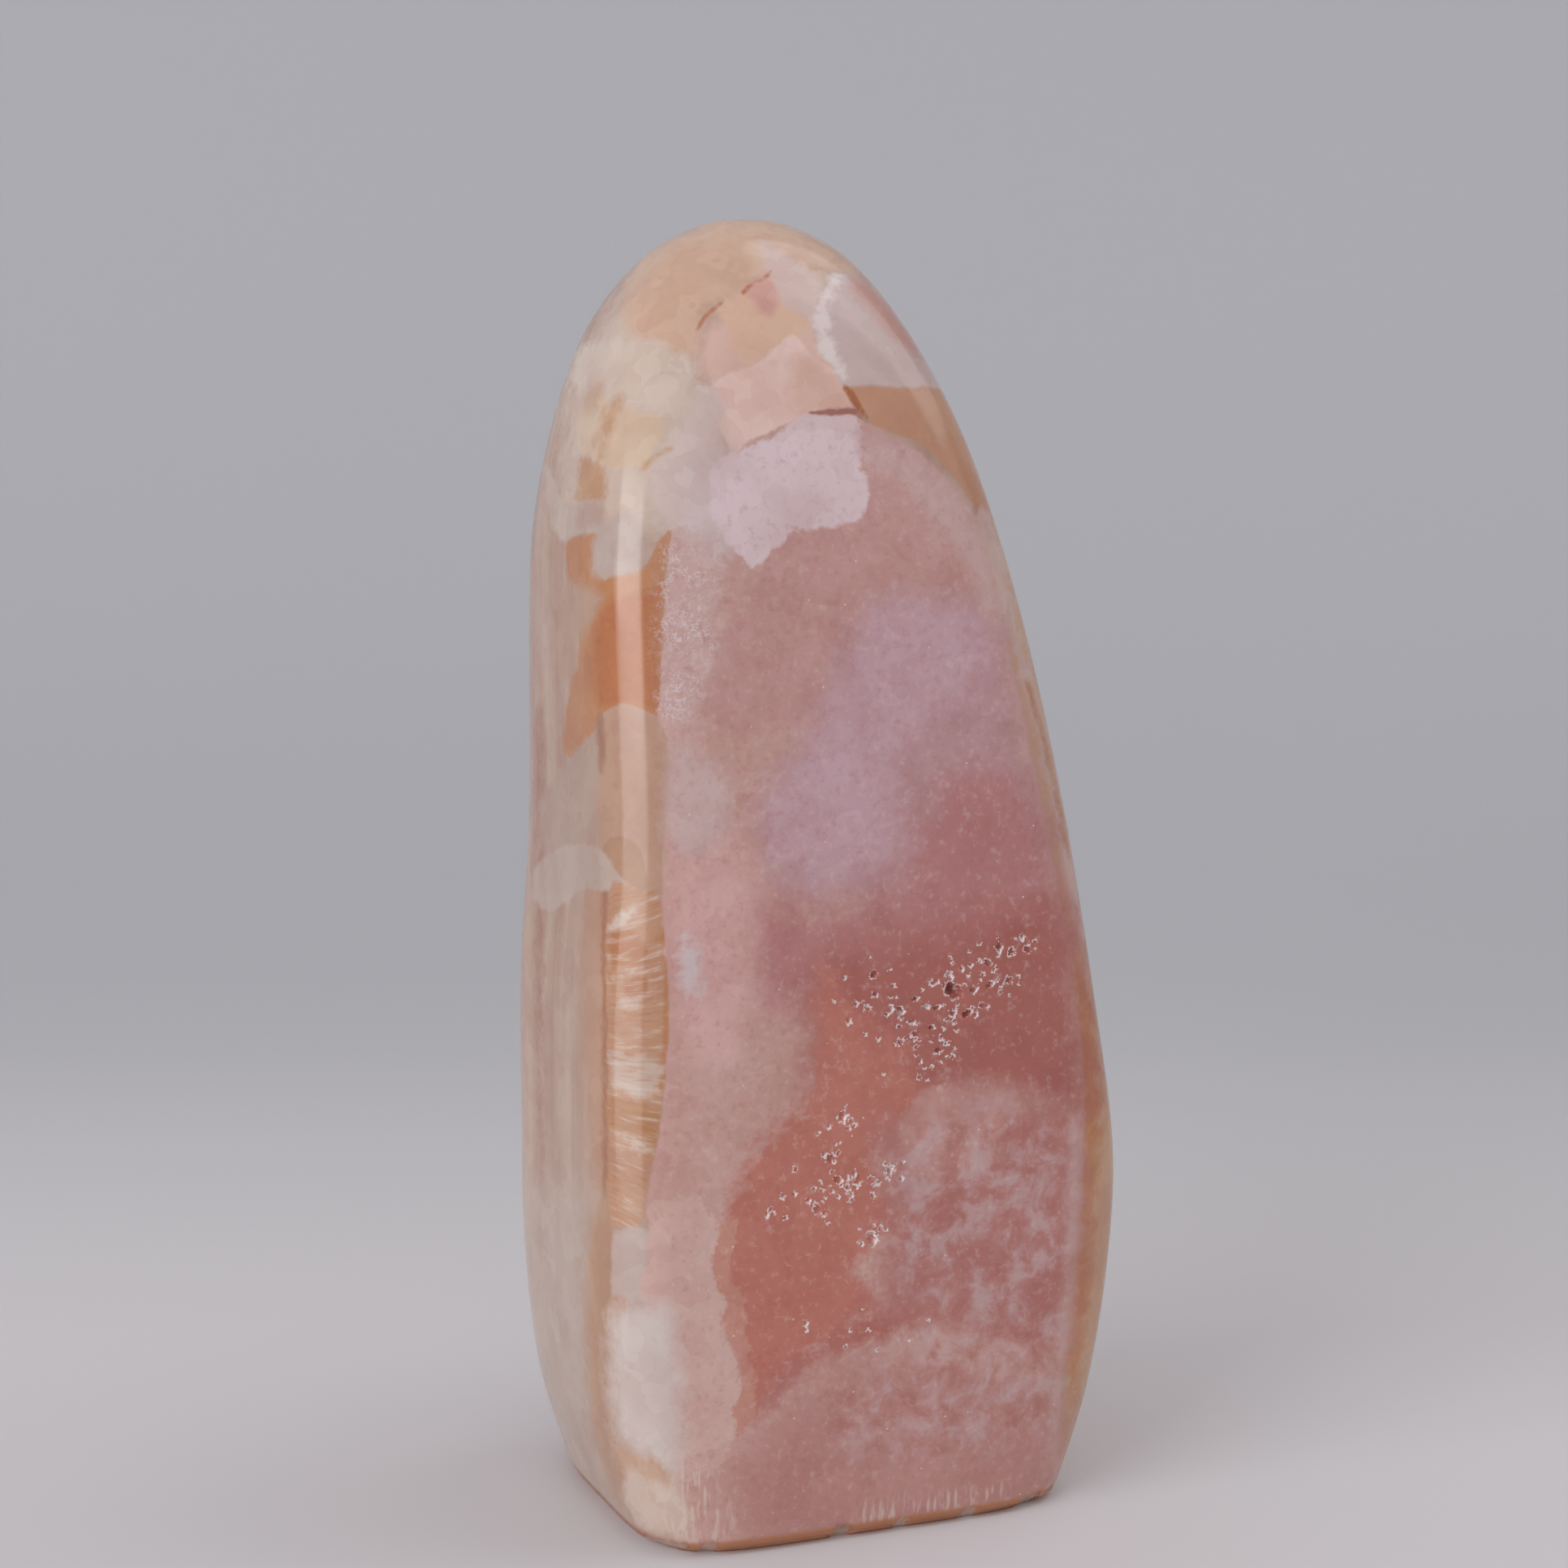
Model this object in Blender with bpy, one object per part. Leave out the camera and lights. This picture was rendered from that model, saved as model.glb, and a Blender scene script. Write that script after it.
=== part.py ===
"""A polished aragonite freeform: one stone, ground to a leaning pillow shape, standing on a flat sawn base.

X runs along the broad front face, Y from the front to the back, Z up. The origin is under the middle
of the stone, on the surface that it stands on.
"""

import math
import random

import bmesh
import bpy
import numpy as np
from mathutils import Vector

MM = 0.001
OBJECT_NAME = "aragonite_freeform"

# The stone's outline, as sections from the base to the tip, in millimetres: height, left edge, right edge,
# front face, back face, and how square the front corners are (2 is an ellipse).
SECTIONS = (
    (0.0, -23.6, 21.6, -20.2, 17.2, 5.4),
    (1.0, -24.7, 22.6, -21.1, 18.1, 5.6),
    (2.0, -25.4, 23.2, -21.5, 18.7, 5.8),
    (12.0, -28.1, 26.4, -21.8, 20.4, 6.2),
    (25.0, -29.3, 28.8, -21.6, 21.5, 6.3),
    (38.0, -29.4, 29.4, -21.3, 21.8, 6.3),
    (55.0, -29.3, 26.9, -20.9, 21.6, 6.3),
    (72.0, -28.2, 23.8, -20.4, 21.0, 6.3),
    (88.0, -28.3, 20.4, -19.7, 20.0, 5.8),
    (102.0, -28.3, 16.7, -18.8, 18.5, 5.2),
    (114.0, -26.7, 12.8, -17.2, 16.0, 4.2),
    (124.0, -23.5, 8.0, -14.2, 12.6, 3.3),
    (131.0, -18.1, 2.9, -9.6, 8.2, 2.6),
    (134.3, -12.3, -2.6, -4.8, 3.8, 2.1),
    (135.0, -7.5, -7.5, -0.6, -0.6, 2.0),
)
BACK_SQUARENESS = 0.42  # the back corners' share of the front corners' squareness beyond an ellipse
POINTS_AROUND = 60
ROW_HEIGHT = 4.6
FEWEST_ROWS = 2  # between one section of the table and the next
CORNER_CROWDING = 0.12  # how far the points of a section gather at its four corners

# Open pits in the front face: place along the face, height, radius and depth, in millimetres.
PITS = (
    (-1.4, 59.3, 0.5, 0.6),
    (-1.3, 57.2, 0.4, 0.4),
    (1.5, 55.3, 0.5, 0.6),
    (3.2, 56.4, 0.4, 0.6),
    (4.3, 55.4, 0.4, 0.5),
    (5.6, 55.3, 0.4, 0.5),
    (7.5, 56.9, 0.9, 1.2),
    (7.0, 58.6, 0.4, 0.4),
    (2.8, 54.1, 0.4, 0.4),
    (3.2, 52.8, 0.5, 0.5),
    (5.0, 53.3, 0.4, 0.6),
    (7.4, 54.6, 0.4, 0.5),
    (9.0, 54.4, 0.6, 0.8),
    (9.7, 56.8, 0.5, 0.5),
    (11.6, 57.2, 0.5, 0.5),
    (10.7, 55.1, 0.4, 0.4),
    (12.7, 61.0, 0.4, 0.6),
    (11.4, 59.5, 0.5, 0.5),
    (14.1, 60.4, 0.5, 0.5),
    (16.0, 60.5, 0.5, 0.5),
    (13.8, 57.5, 0.5, 0.5),
    (5.7, 50.8, 0.5, 0.6),
    (1.5, 52.0, 0.4, 0.4),
    (-5.0, 44.9, 0.5, 0.4),
    (-6.3, 40.7, 0.5, 0.5),
    (-5.5, 38.4, 0.6, 0.5),
    (-3.3, 38.1, 0.5, 0.4),
    (-7.8, 35.6, 0.5, 0.4),
    (0.2, 38.8, 0.6, 0.4),
    (-1.8, 31.9, 0.6, 0.5),
)

# Chips broken out of the front rim of the base: place along the face, length and bite, in millimetres.
CHIPS = ((-22.7, 3.4, 0.8), (-19.1, 2.0, 0.6), (-4.9, 2.4, 1.0), (1.9, 1.6, 0.5), (9.7, 2.0, 0.5), (16.9, 2.6, 0.6))
CHIP_HEIGHT = 1.2

STONE_COLOUR = (0.48, 0.25, 0.20, 1.0)  # dusty salmon pink, the mean of the whole stone
STONE_ROUGHNESS = 0.16


def remove_everything():
    for item in list(bpy.data.objects):
        bpy.data.objects.remove(item, do_unlink=True)


def add_collection(name):
    collection = bpy.data.collections.new(name)
    bpy.context.scene.collection.children.link(collection)
    return collection


def add_mesh_object(name, bm, collection):
    mesh = bpy.data.meshes.new(name)
    bm.to_mesh(mesh)
    bm.free()
    item = bpy.data.objects.new(name, mesh)
    collection.objects.link(item)
    return item


def between(before, start, end, after, t):
    """A smooth curve through start and end that leaves and arrives along its neighbours."""
    return 0.5 * (
        2 * start
        + (end - before) * t
        + (2 * before - 5 * start + 4 * end - after) * t**2
        + (3 * start - before - 3 * end + after) * t**3
    )


def smooth_sections():
    """Sections close enough together to read as one smooth skin; the tip itself comes last."""
    known = np.array(SECTIONS)
    below = 2 * known[0] - known[1]
    past_tip = known[-2][[0, 2, 1, 4, 3, 5]]  # over the tip, left turns into right and front into back
    chain = [below, *known, past_tip]
    rows = []
    for i in range(1, len(chain) - 2):
        before, start, end, after = chain[i - 1 : i + 3]
        steps = max(FEWEST_ROWS, math.ceil((end[0] - start[0]) / ROW_HEIGHT))
        rows += [between(before, start, end, after, k / steps) for k in range(steps)]
    return rows, known[-1]


def section_at(height):
    """The section at one height, read straight between the rows of the table."""
    table = np.array(SECTIONS)
    return [np.interp(height, table[:, 0], column) for column in table.T]


def section_ring(section):
    """One closed ring of points: flat-sided at the front, rounder at the back."""
    height, left, right, front, back, squareness = section
    centre = ((left + right) / 2, (front + back) / 2)
    half = ((right - left) / 2, (back - front) / 2)
    points = []
    for i in range(POINTS_AROUND):
        angle = 2 * math.pi * i / POINTS_AROUND
        angle += CORNER_CROWDING * math.sin(4 * angle)
        along, across = math.cos(angle), math.sin(angle)
        power = squareness if across < 0 else 2 + BACK_SQUARENESS * (squareness - 2)
        reach = (abs(along) ** power + abs(across) ** power) ** (-1 / power)
        points.append((centre[0] + half[0] * reach * along, centre[1] + half[1] * reach * across, height))
    return points


def stone_body(collection):
    """The whole stone as one closed skin: the flat base, the rings joined side by side, and the rounded tip."""
    sections, tip = smooth_sections()
    bm = bmesh.new()
    rings = [[bm.verts.new(Vector(p) * MM) for p in section_ring(s)] for s in sections]
    bm.faces.new(reversed(rings[0]))
    for lower, upper in zip(rings, rings[1:]):
        for i in range(POINTS_AROUND):
            j = (i + 1) % POINTS_AROUND
            bm.faces.new((lower[i], lower[j], upper[j], upper[i]))
    top = bm.verts.new(Vector((tip[1], tip[3], tip[0])) * MM)
    for i in range(POINTS_AROUND):
        bm.faces.new((rings[-1][i], rings[-1][(i + 1) % POINTS_AROUND], top))
    return add_mesh_object(OBJECT_NAME, bm, collection)


def front_face(along, height):
    """How far forward the front face lies at one place, in millimetres."""
    _, left, right, front, back, squareness = section_at(height)
    share = abs(along - (left + right) / 2) / ((right - left) / 2)
    depth = (back - front) / 2
    return (front + back) / 2 - depth * (1 - share**squareness) ** (1 / squareness)


def add_lump(bm, centre, radii, rng, roughness=0.2):
    """A ball pressed to three radii, its skin left uneven like a broken hollow."""
    ball = bmesh.ops.create_icosphere(bm, subdivisions=2, radius=1.0)["verts"]
    for vertex in ball:
        uneven = 1 + roughness * (rng.random() - 0.5)
        vertex.co = Vector(c + v * r * uneven for c, v, r in zip(centre, vertex.co, radii)) * MM


def pit_cutter(collection, rng):
    bm = bmesh.new()
    for along, height, radius, depth in PITS:
        add_lump(bm, (along, front_face(along, height), height), (radius, depth, radius), rng)
    return add_mesh_object("pit_cutter", bm, collection)


def chip_cutter(collection, rng):
    bm = bmesh.new()
    for along, length, bite in CHIPS:
        centre = (along, front_face(along, CHIP_HEIGHT) - 0.2, CHIP_HEIGHT - 0.4)
        add_lump(bm, centre, (length / 2, bite, CHIP_HEIGHT), rng)
    return add_mesh_object("chip_cutter", bm, collection)


def carve(stone, cutter):
    """Take a cutter's lumps out of the stone, and keep the cutter as a hidden guide."""
    cutter.hide_render = True
    cutter.display_type = "WIRE"
    cut = stone.modifiers.new(cutter.name, "BOOLEAN")
    cut.operation = "DIFFERENCE"
    cut.solver = "EXACT"
    cut.use_self = True
    cut.object = cutter


def stone_material():
    material = bpy.data.materials.new("polished_aragonite")
    material.use_nodes = True
    surface = material.node_tree.nodes["Principled BSDF"]
    surface.inputs["Base Color"].default_value = STONE_COLOUR
    surface.inputs["Roughness"].default_value = STONE_ROUGHNESS
    surface.inputs["Metallic"].default_value = 0.0
    return material


def main():
    remove_everything()
    rng = random.Random(7)
    stone_parts = add_collection(OBJECT_NAME)
    cutters = add_collection("cutters")
    stone = stone_body(stone_parts)
    stone.data.materials.append(stone_material())
    stone.data.shade_smooth()
    carve(stone, pit_cutter(cutters, rng))
    carve(stone, chip_cutter(cutters, rng))


main()
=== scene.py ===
import math
import random

import bmesh
import bpy
import numpy as np
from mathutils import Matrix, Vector


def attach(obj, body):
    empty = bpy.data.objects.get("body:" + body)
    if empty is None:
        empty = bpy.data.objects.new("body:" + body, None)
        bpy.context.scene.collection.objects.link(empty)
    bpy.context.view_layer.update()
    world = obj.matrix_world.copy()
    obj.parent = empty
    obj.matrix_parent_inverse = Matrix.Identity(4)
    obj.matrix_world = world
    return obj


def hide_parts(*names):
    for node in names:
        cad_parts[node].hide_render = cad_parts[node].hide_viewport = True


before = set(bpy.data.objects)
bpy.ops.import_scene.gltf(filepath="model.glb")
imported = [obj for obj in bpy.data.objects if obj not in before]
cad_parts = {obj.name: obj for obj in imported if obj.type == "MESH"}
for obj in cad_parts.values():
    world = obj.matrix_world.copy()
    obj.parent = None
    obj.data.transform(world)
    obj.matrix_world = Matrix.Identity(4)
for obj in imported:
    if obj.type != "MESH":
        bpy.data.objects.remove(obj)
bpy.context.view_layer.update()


# The camera
# A 50 mm lens on a 24 mm square sensor, level with the stone's shoulder and looking a little down, with the
# stone's right end turned away. Bands traced from the picture use the same view, so it comes first.
MM = 0.001
PICTURE_SIDE = 1932
LENS = 50.0
SENSOR = 24.0
CAMERA_HEIGHT = 127.6 * MM
CAMERA_TURN = math.radians(22.0)
CAMERA_PITCH = math.radians(8.56)
STONE_AHEAD = 343.99 * MM
STONE_ASIDE = 2.61 * MM

ahead = Vector((math.sin(CAMERA_TURN), math.cos(CAMERA_TURN), 0))
aside = Vector((math.cos(CAMERA_TURN), -math.sin(CAMERA_TURN), 0))
camera_place = -STONE_AHEAD * ahead - STONE_ASIDE * aside + Vector((0, 0, CAMERA_HEIGHT))

lens = bpy.data.cameras.new("camera")
lens.lens = LENS
lens.sensor_width = SENSOR
camera = bpy.data.objects.new("camera", lens)
camera.location = camera_place
camera.rotation_euler = (math.radians(90) - CAMERA_PITCH, 0, -CAMERA_TURN)
bpy.context.scene.collection.objects.link(camera)
bpy.context.scene.camera = camera


def in_picture(points):
    """Where points of the stone, in metres, fall in the picture, in its pixels."""
    away = points - np.array(camera_place)
    level = away @ np.array(ahead)
    depth = level * math.cos(CAMERA_PITCH) - away[:, 2] * math.sin(CAMERA_PITCH)
    rise = level * math.sin(CAMERA_PITCH) + away[:, 2] * math.cos(CAMERA_PITCH)
    per_unit = LENS / SENSOR * PICTURE_SIDE / depth
    across = away @ np.array(aside)
    return np.column_stack((PICTURE_SIDE / 2 + per_unit * across, PICTURE_SIDE / 2 - per_unit * rise))


# The polished stone
# One lump of banded aragonite, sawn flat underneath, ground to a leaning pillow and polished on every side
# but the base. Its front face opens small pits, and its base rim is chipped.

# Height, left, right, front and back edges in millimetres, and how square the front corners are.
SECTIONS = (
    (0.0, -23.6, 21.6, -20.2, 17.2, 5.4),
    (1.0, -24.7, 22.6, -21.1, 18.1, 5.6),
    (2.0, -25.4, 23.2, -21.5, 18.7, 5.8),
    (12.0, -28.1, 26.4, -21.8, 20.4, 6.2),
    (25.0, -29.3, 28.8, -21.6, 21.5, 6.3),
    (38.0, -29.4, 29.4, -21.3, 21.8, 6.3),
    (55.0, -29.3, 26.9, -20.9, 21.6, 6.3),
    (72.0, -28.2, 23.8, -20.4, 21.0, 6.3),
    (88.0, -28.3, 20.4, -19.7, 20.0, 5.8),
    (102.0, -28.3, 16.7, -18.8, 18.5, 5.2),
    (114.0, -26.7, 12.8, -17.2, 16.0, 4.2),
    (124.0, -23.5, 8.0, -14.2, 12.6, 3.3),
    (131.0, -18.1, 2.9, -9.6, 8.2, 2.6),
    (134.3, -12.3, -2.6, -4.8, 3.8, 2.1),
    (135.0, -7.5, -7.5, -0.6, -0.6, 2.0),
)
BACK_SQUARENESS = 0.42
SKIN_SPACING = 0.56  # millimetres between rows of the skin
POINTS_AROUND = 280
HIDDEN_SPACING = 1.7  # how much wider the skin's points stand on the back and right than on the front and left
BASE_INSET = 0.985
WIDEST = 5  # the section that the skin's points are spaced on
UNSEEN_BACK, UNSEEN_RIGHT = 8, 26  # millimetres past which the picture doesn't show the skin
FINE_STEPS = 7200

# Open pits: place along the face, height, radius and depth, in millimetres.
PITS = (
    (-1.4, 59.3, 0.5, 0.6), (-1.3, 57.2, 0.4, 0.4), (1.5, 55.3, 0.5, 0.6), (3.2, 56.4, 0.4, 0.6),
    (4.3, 55.4, 0.4, 0.5), (5.6, 55.3, 0.4, 0.5), (7.5, 56.9, 0.9, 1.2), (7.0, 58.6, 0.4, 0.4),
    (2.8, 54.1, 0.4, 0.4), (3.2, 52.8, 0.5, 0.5), (5.0, 53.3, 0.4, 0.6), (7.4, 54.6, 0.4, 0.5),
    (9.0, 54.4, 0.6, 0.8), (9.7, 56.8, 0.5, 0.5), (11.6, 57.2, 0.5, 0.5), (10.7, 55.1, 0.4, 0.4),
    (12.7, 61.0, 0.4, 0.6), (11.4, 59.5, 0.5, 0.5), (14.1, 60.4, 0.5, 0.5), (16.0, 60.5, 0.5, 0.5),
    (13.8, 57.5, 0.5, 0.5), (5.7, 50.8, 0.5, 0.6), (1.5, 52.0, 0.4, 0.4), (-5.0, 44.9, 0.5, 0.4),
    (-6.3, 40.7, 0.5, 0.5), (-5.5, 38.4, 0.6, 0.5), (-3.3, 38.1, 0.5, 0.4), (-7.8, 35.6, 0.5, 0.4),
    (0.2, 38.8, 0.6, 0.4), (-1.8, 31.9, 0.6, 0.5),
)
# Lines that the finer pits gather along: both ends, in millimetres, how many, and how far they stray.
PIT_TRAILS = (
    ((-1.5, 60.5), (1.0, 54.0), 10, 0.8),
    ((-5.0, 58.0), (-1.5, 55.5), 7, 1.2),
    ((0.0, 53.0), (9.5, 55.5), 26, 1.4),
    ((4.0, 57.5), (9.5, 58.0), 10, 0.9),
    ((6.0, 59.0), (17.0, 61.5), 18, 0.9),
    ((9.0, 57.5), (14.5, 56.5), 12, 1.0),
    ((2.0, 51.0), (8.5, 52.5), 11, 1.1),
    ((3.5, 48.5), (7.5, 51.5), 7, 0.9),
    ((-5.0, 46.0), (-6.5, 35.5), 18, 1.2),
    ((-13.5, 35.5), (-4.0, 38.5), 16, 1.2),
    ((-6.5, 36.5), (-2.5, 38.5), 14, 1.0),
    ((-0.5, 38.0), (1.5, 39.5), 12, 0.8),
    ((-3.0, 31.0), (-1.0, 33.0), 9, 0.7),
    ((-10.0, 22.0), (2.0, 27.0), 9, 3.0),
)
FINE_PIT = (0.13, 0.32)  # smallest and largest radius
FINE_PIT_DEPTH = (0.6, 1.2)  # shares of the radius
PIT_MARGIN = 0.45  # how far round a pit the skin is made finer
PIT_CUTS = 4
PIT_RIM = 0.16  # width of the white rim round a pit: bruised stone, with a painted glint on its lip
DEEP_PIT = 1.25  # depth at which the painted shade in a pit's heart is at its darkest
FRONT = -0.5  # a normal that points this far forward is on the front face

# Chips along the rim of the base: place along the face, length and bite, in millimetres.
CHIPS = (
    (-22.7, 3.4, 0.8), (-19.1, 2.0, 0.6), (-4.9, 2.4, 1.0), (1.9, 1.6, 0.5), (9.7, 2.0, 0.5), (16.9, 2.6, 0.6))
CHIP_HEIGHT = 1.2

rng = random.Random(5)


def between(before, start, end, after, t):
    """A smooth curve through start and end that leaves and arrives along its neighbours."""
    return 0.5 * (
        2 * start
        + (end - before) * t
        + (2 * before - 5 * start + 4 * end - after) * t**2
        + (3 * start - before - 3 * end + after) * t**3
    )


def smooth_sections():
    """Sections about a skin spacing apart, measured along the skin; the tip itself comes last."""
    known = np.array(SECTIONS)
    past_tip = known[-2][[0, 2, 1, 4, 3, 5]]
    chain = [2 * known[0] - known[1], *known, past_tip]
    rows = []
    for i in range(1, len(chain) - 2):
        before, start, end, after = chain[i - 1 : i + 3]
        run = max(abs(end - start)[:5])
        steps = math.ceil(run / SKIN_SPACING)
        rows += [between(before, start, end, after, k / steps) for k in range(steps)]
    return rows, known[-1]


def section_ring(section, angles):
    """One closed ring of points, in millimetres: flat-sided at the front, rounder at the back."""
    height, left, right, front, back, squareness = section
    along, across = np.cos(angles), np.sin(angles)
    power = np.where(across < 0, squareness, 2 + BACK_SQUARENESS * (squareness - 2))
    reach = (abs(along) ** power + abs(across) ** power) ** (-1 / power)
    x = (left + right) / 2 + (right - left) / 2 * reach * along
    y = (front + back) / 2 + (back - front) / 2 * reach * across
    return np.column_stack((x, y, np.full(len(angles), height)))


def spaced_angles():
    """Angles round the widest section whose points stand evenly, but wider apart where the stone is unseen."""
    fine = np.linspace(0, 2 * math.pi, FINE_STEPS)
    ring = section_ring(SECTIONS[WIDEST], fine)
    steps = np.linalg.norm(np.diff(ring, axis=0), axis=1)
    unseen = (ring[1:, 1] > UNSEEN_BACK) | (ring[1:, 0] > UNSEEN_RIGHT)
    run = np.concatenate(([0], np.cumsum(np.where(unseen, steps / HIDDEN_SPACING, steps))))
    return np.interp(np.linspace(0, run[-1], POINTS_AROUND, endpoint=False), run, fine)


def stone_skin():
    """The stone's plain skin: base, rings and rounded tip, in metres."""
    sections, tip = smooth_sections()
    angles = spaced_angles()
    bm = bmesh.new()
    base_ring = section_ring(sections[0], angles)
    inner_ring = base_ring * (BASE_INSET, BASE_INSET, 1)
    rings = [inner_ring] + [section_ring(s, angles) for s in sections]
    rows = [[bm.verts.new(p * MM) for p in ring] for ring in rings]
    bm.faces.new(reversed(rows[0]))
    for lower, upper in zip(rows, rows[1:]):
        for i in range(POINTS_AROUND):
            j = (i + 1) % POINTS_AROUND
            bm.faces.new((lower[i], lower[j], upper[j], upper[i]))
    top = bm.verts.new(Vector((tip[1], tip[3], tip[0])) * MM)
    for i in range(POINTS_AROUND):
        bm.faces.new((rows[-1][i], rows[-1][(i + 1) % POINTS_AROUND], top))
    return bm


def all_pits():
    """The large pits, and finer ones scattered along the trails."""
    pits = list(PITS)
    for start, end, count, stray in PIT_TRAILS:
        for _ in range(count):
            t = rng.random()
            along = start[0] + (end[0] - start[0]) * t + rng.gauss(0, stray)
            height = start[1] + (end[1] - start[1]) * t + rng.gauss(0, stray)
            radius = rng.uniform(*FINE_PIT)
            pits.append((along, height, radius, radius * rng.uniform(*FINE_PIT_DEPTH)))
    return pits


def finer_round_pits(bm, pits):
    """Cut the skin's faces finer wherever a pit opens."""
    places = np.array([(p[0], p[1]) for p in pits])
    reach = np.array([p[2] + PIT_MARGIN for p in pits])
    edges = set()
    for face in bm.faces:
        if face.normal.y > FRONT:
            continue
        middle = face.calc_center_median() / MM
        gaps = np.hypot(places[:, 0] - middle.x, places[:, 1] - middle.z)
        if (gaps < reach).any():
            edges.update(face.edges)
    bmesh.ops.subdivide_edges(bm, edges=list(edges), cuts=PIT_CUTS, use_grid_fill=True)


def press_pits(points, normals, pits):
    """Sink the pits into the skin, and say how far each point lies inside a rim or a hollow."""
    rim = np.zeros(len(points))
    hollow = np.zeros(len(points))
    front = normals[:, 1] < FRONT
    for along, height, radius, depth in pits:
        dx, dz = points[:, 0] - along, points[:, 2] - height
        turn = rng.uniform(0, 6.3)
        lobes = rng.choice((2, 4, 5))
        slant = rng.uniform(0.7, 1.5)
        angle = np.arctan2(dz, dx)
        uneven = 1 + 0.2 * np.sin(lobes * angle + turn) + 0.12 * np.sin((lobes + 3) * angle - turn)
        share = np.hypot(dx, dz * slant) / (radius * uneven)
        sink = depth * np.clip(1 - share**2, 0, 1)
        points[:, 1] += np.where(front, sink, 0)
        # painted shade: the deeper the pit, the darker its heart is painted
        dark = min(1, depth / DEEP_PIT) ** 2
        hollow = np.maximum(hollow, np.where(front, dark * np.clip(1.15 - share, 0, 1), 0))
        edge = 1 - abs(share - 0.95) * radius / PIT_RIM
        broken = 0.75 + 0.5 * np.sin(angle + 2 * turn)
        rim = np.maximum(rim, np.where(front, np.clip(edge * broken, 0, 1), 0))
    return rim, hollow


def break_chips(points):
    """Bite the chips out of the front rim of the base."""
    chipped = np.zeros(len(points))
    for along, length, bite in CHIPS:
        across = (points[:, 0] - along) / (length / 2)
        up = (points[:, 2] - CHIP_HEIGHT * 0.5) / CHIP_HEIGHT
        share = across**2 + up**2 + 0.3 * np.sin(points[:, 0] * 7 + points[:, 2] * 5)
        bitten = (points[:, 1] < 0) & (share < 1)
        depth = np.where(bitten, bite * np.sqrt(np.clip(1 - share, 0, 1)), 0)
        points[:, 1] += np.where(points[:, 2] > 0.05, depth, depth * 0.4)
        chipped = np.maximum(chipped, np.where(points[:, 1] < 0, np.clip(1.4 - share, 0, 1), 0))
    return chipped
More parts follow.
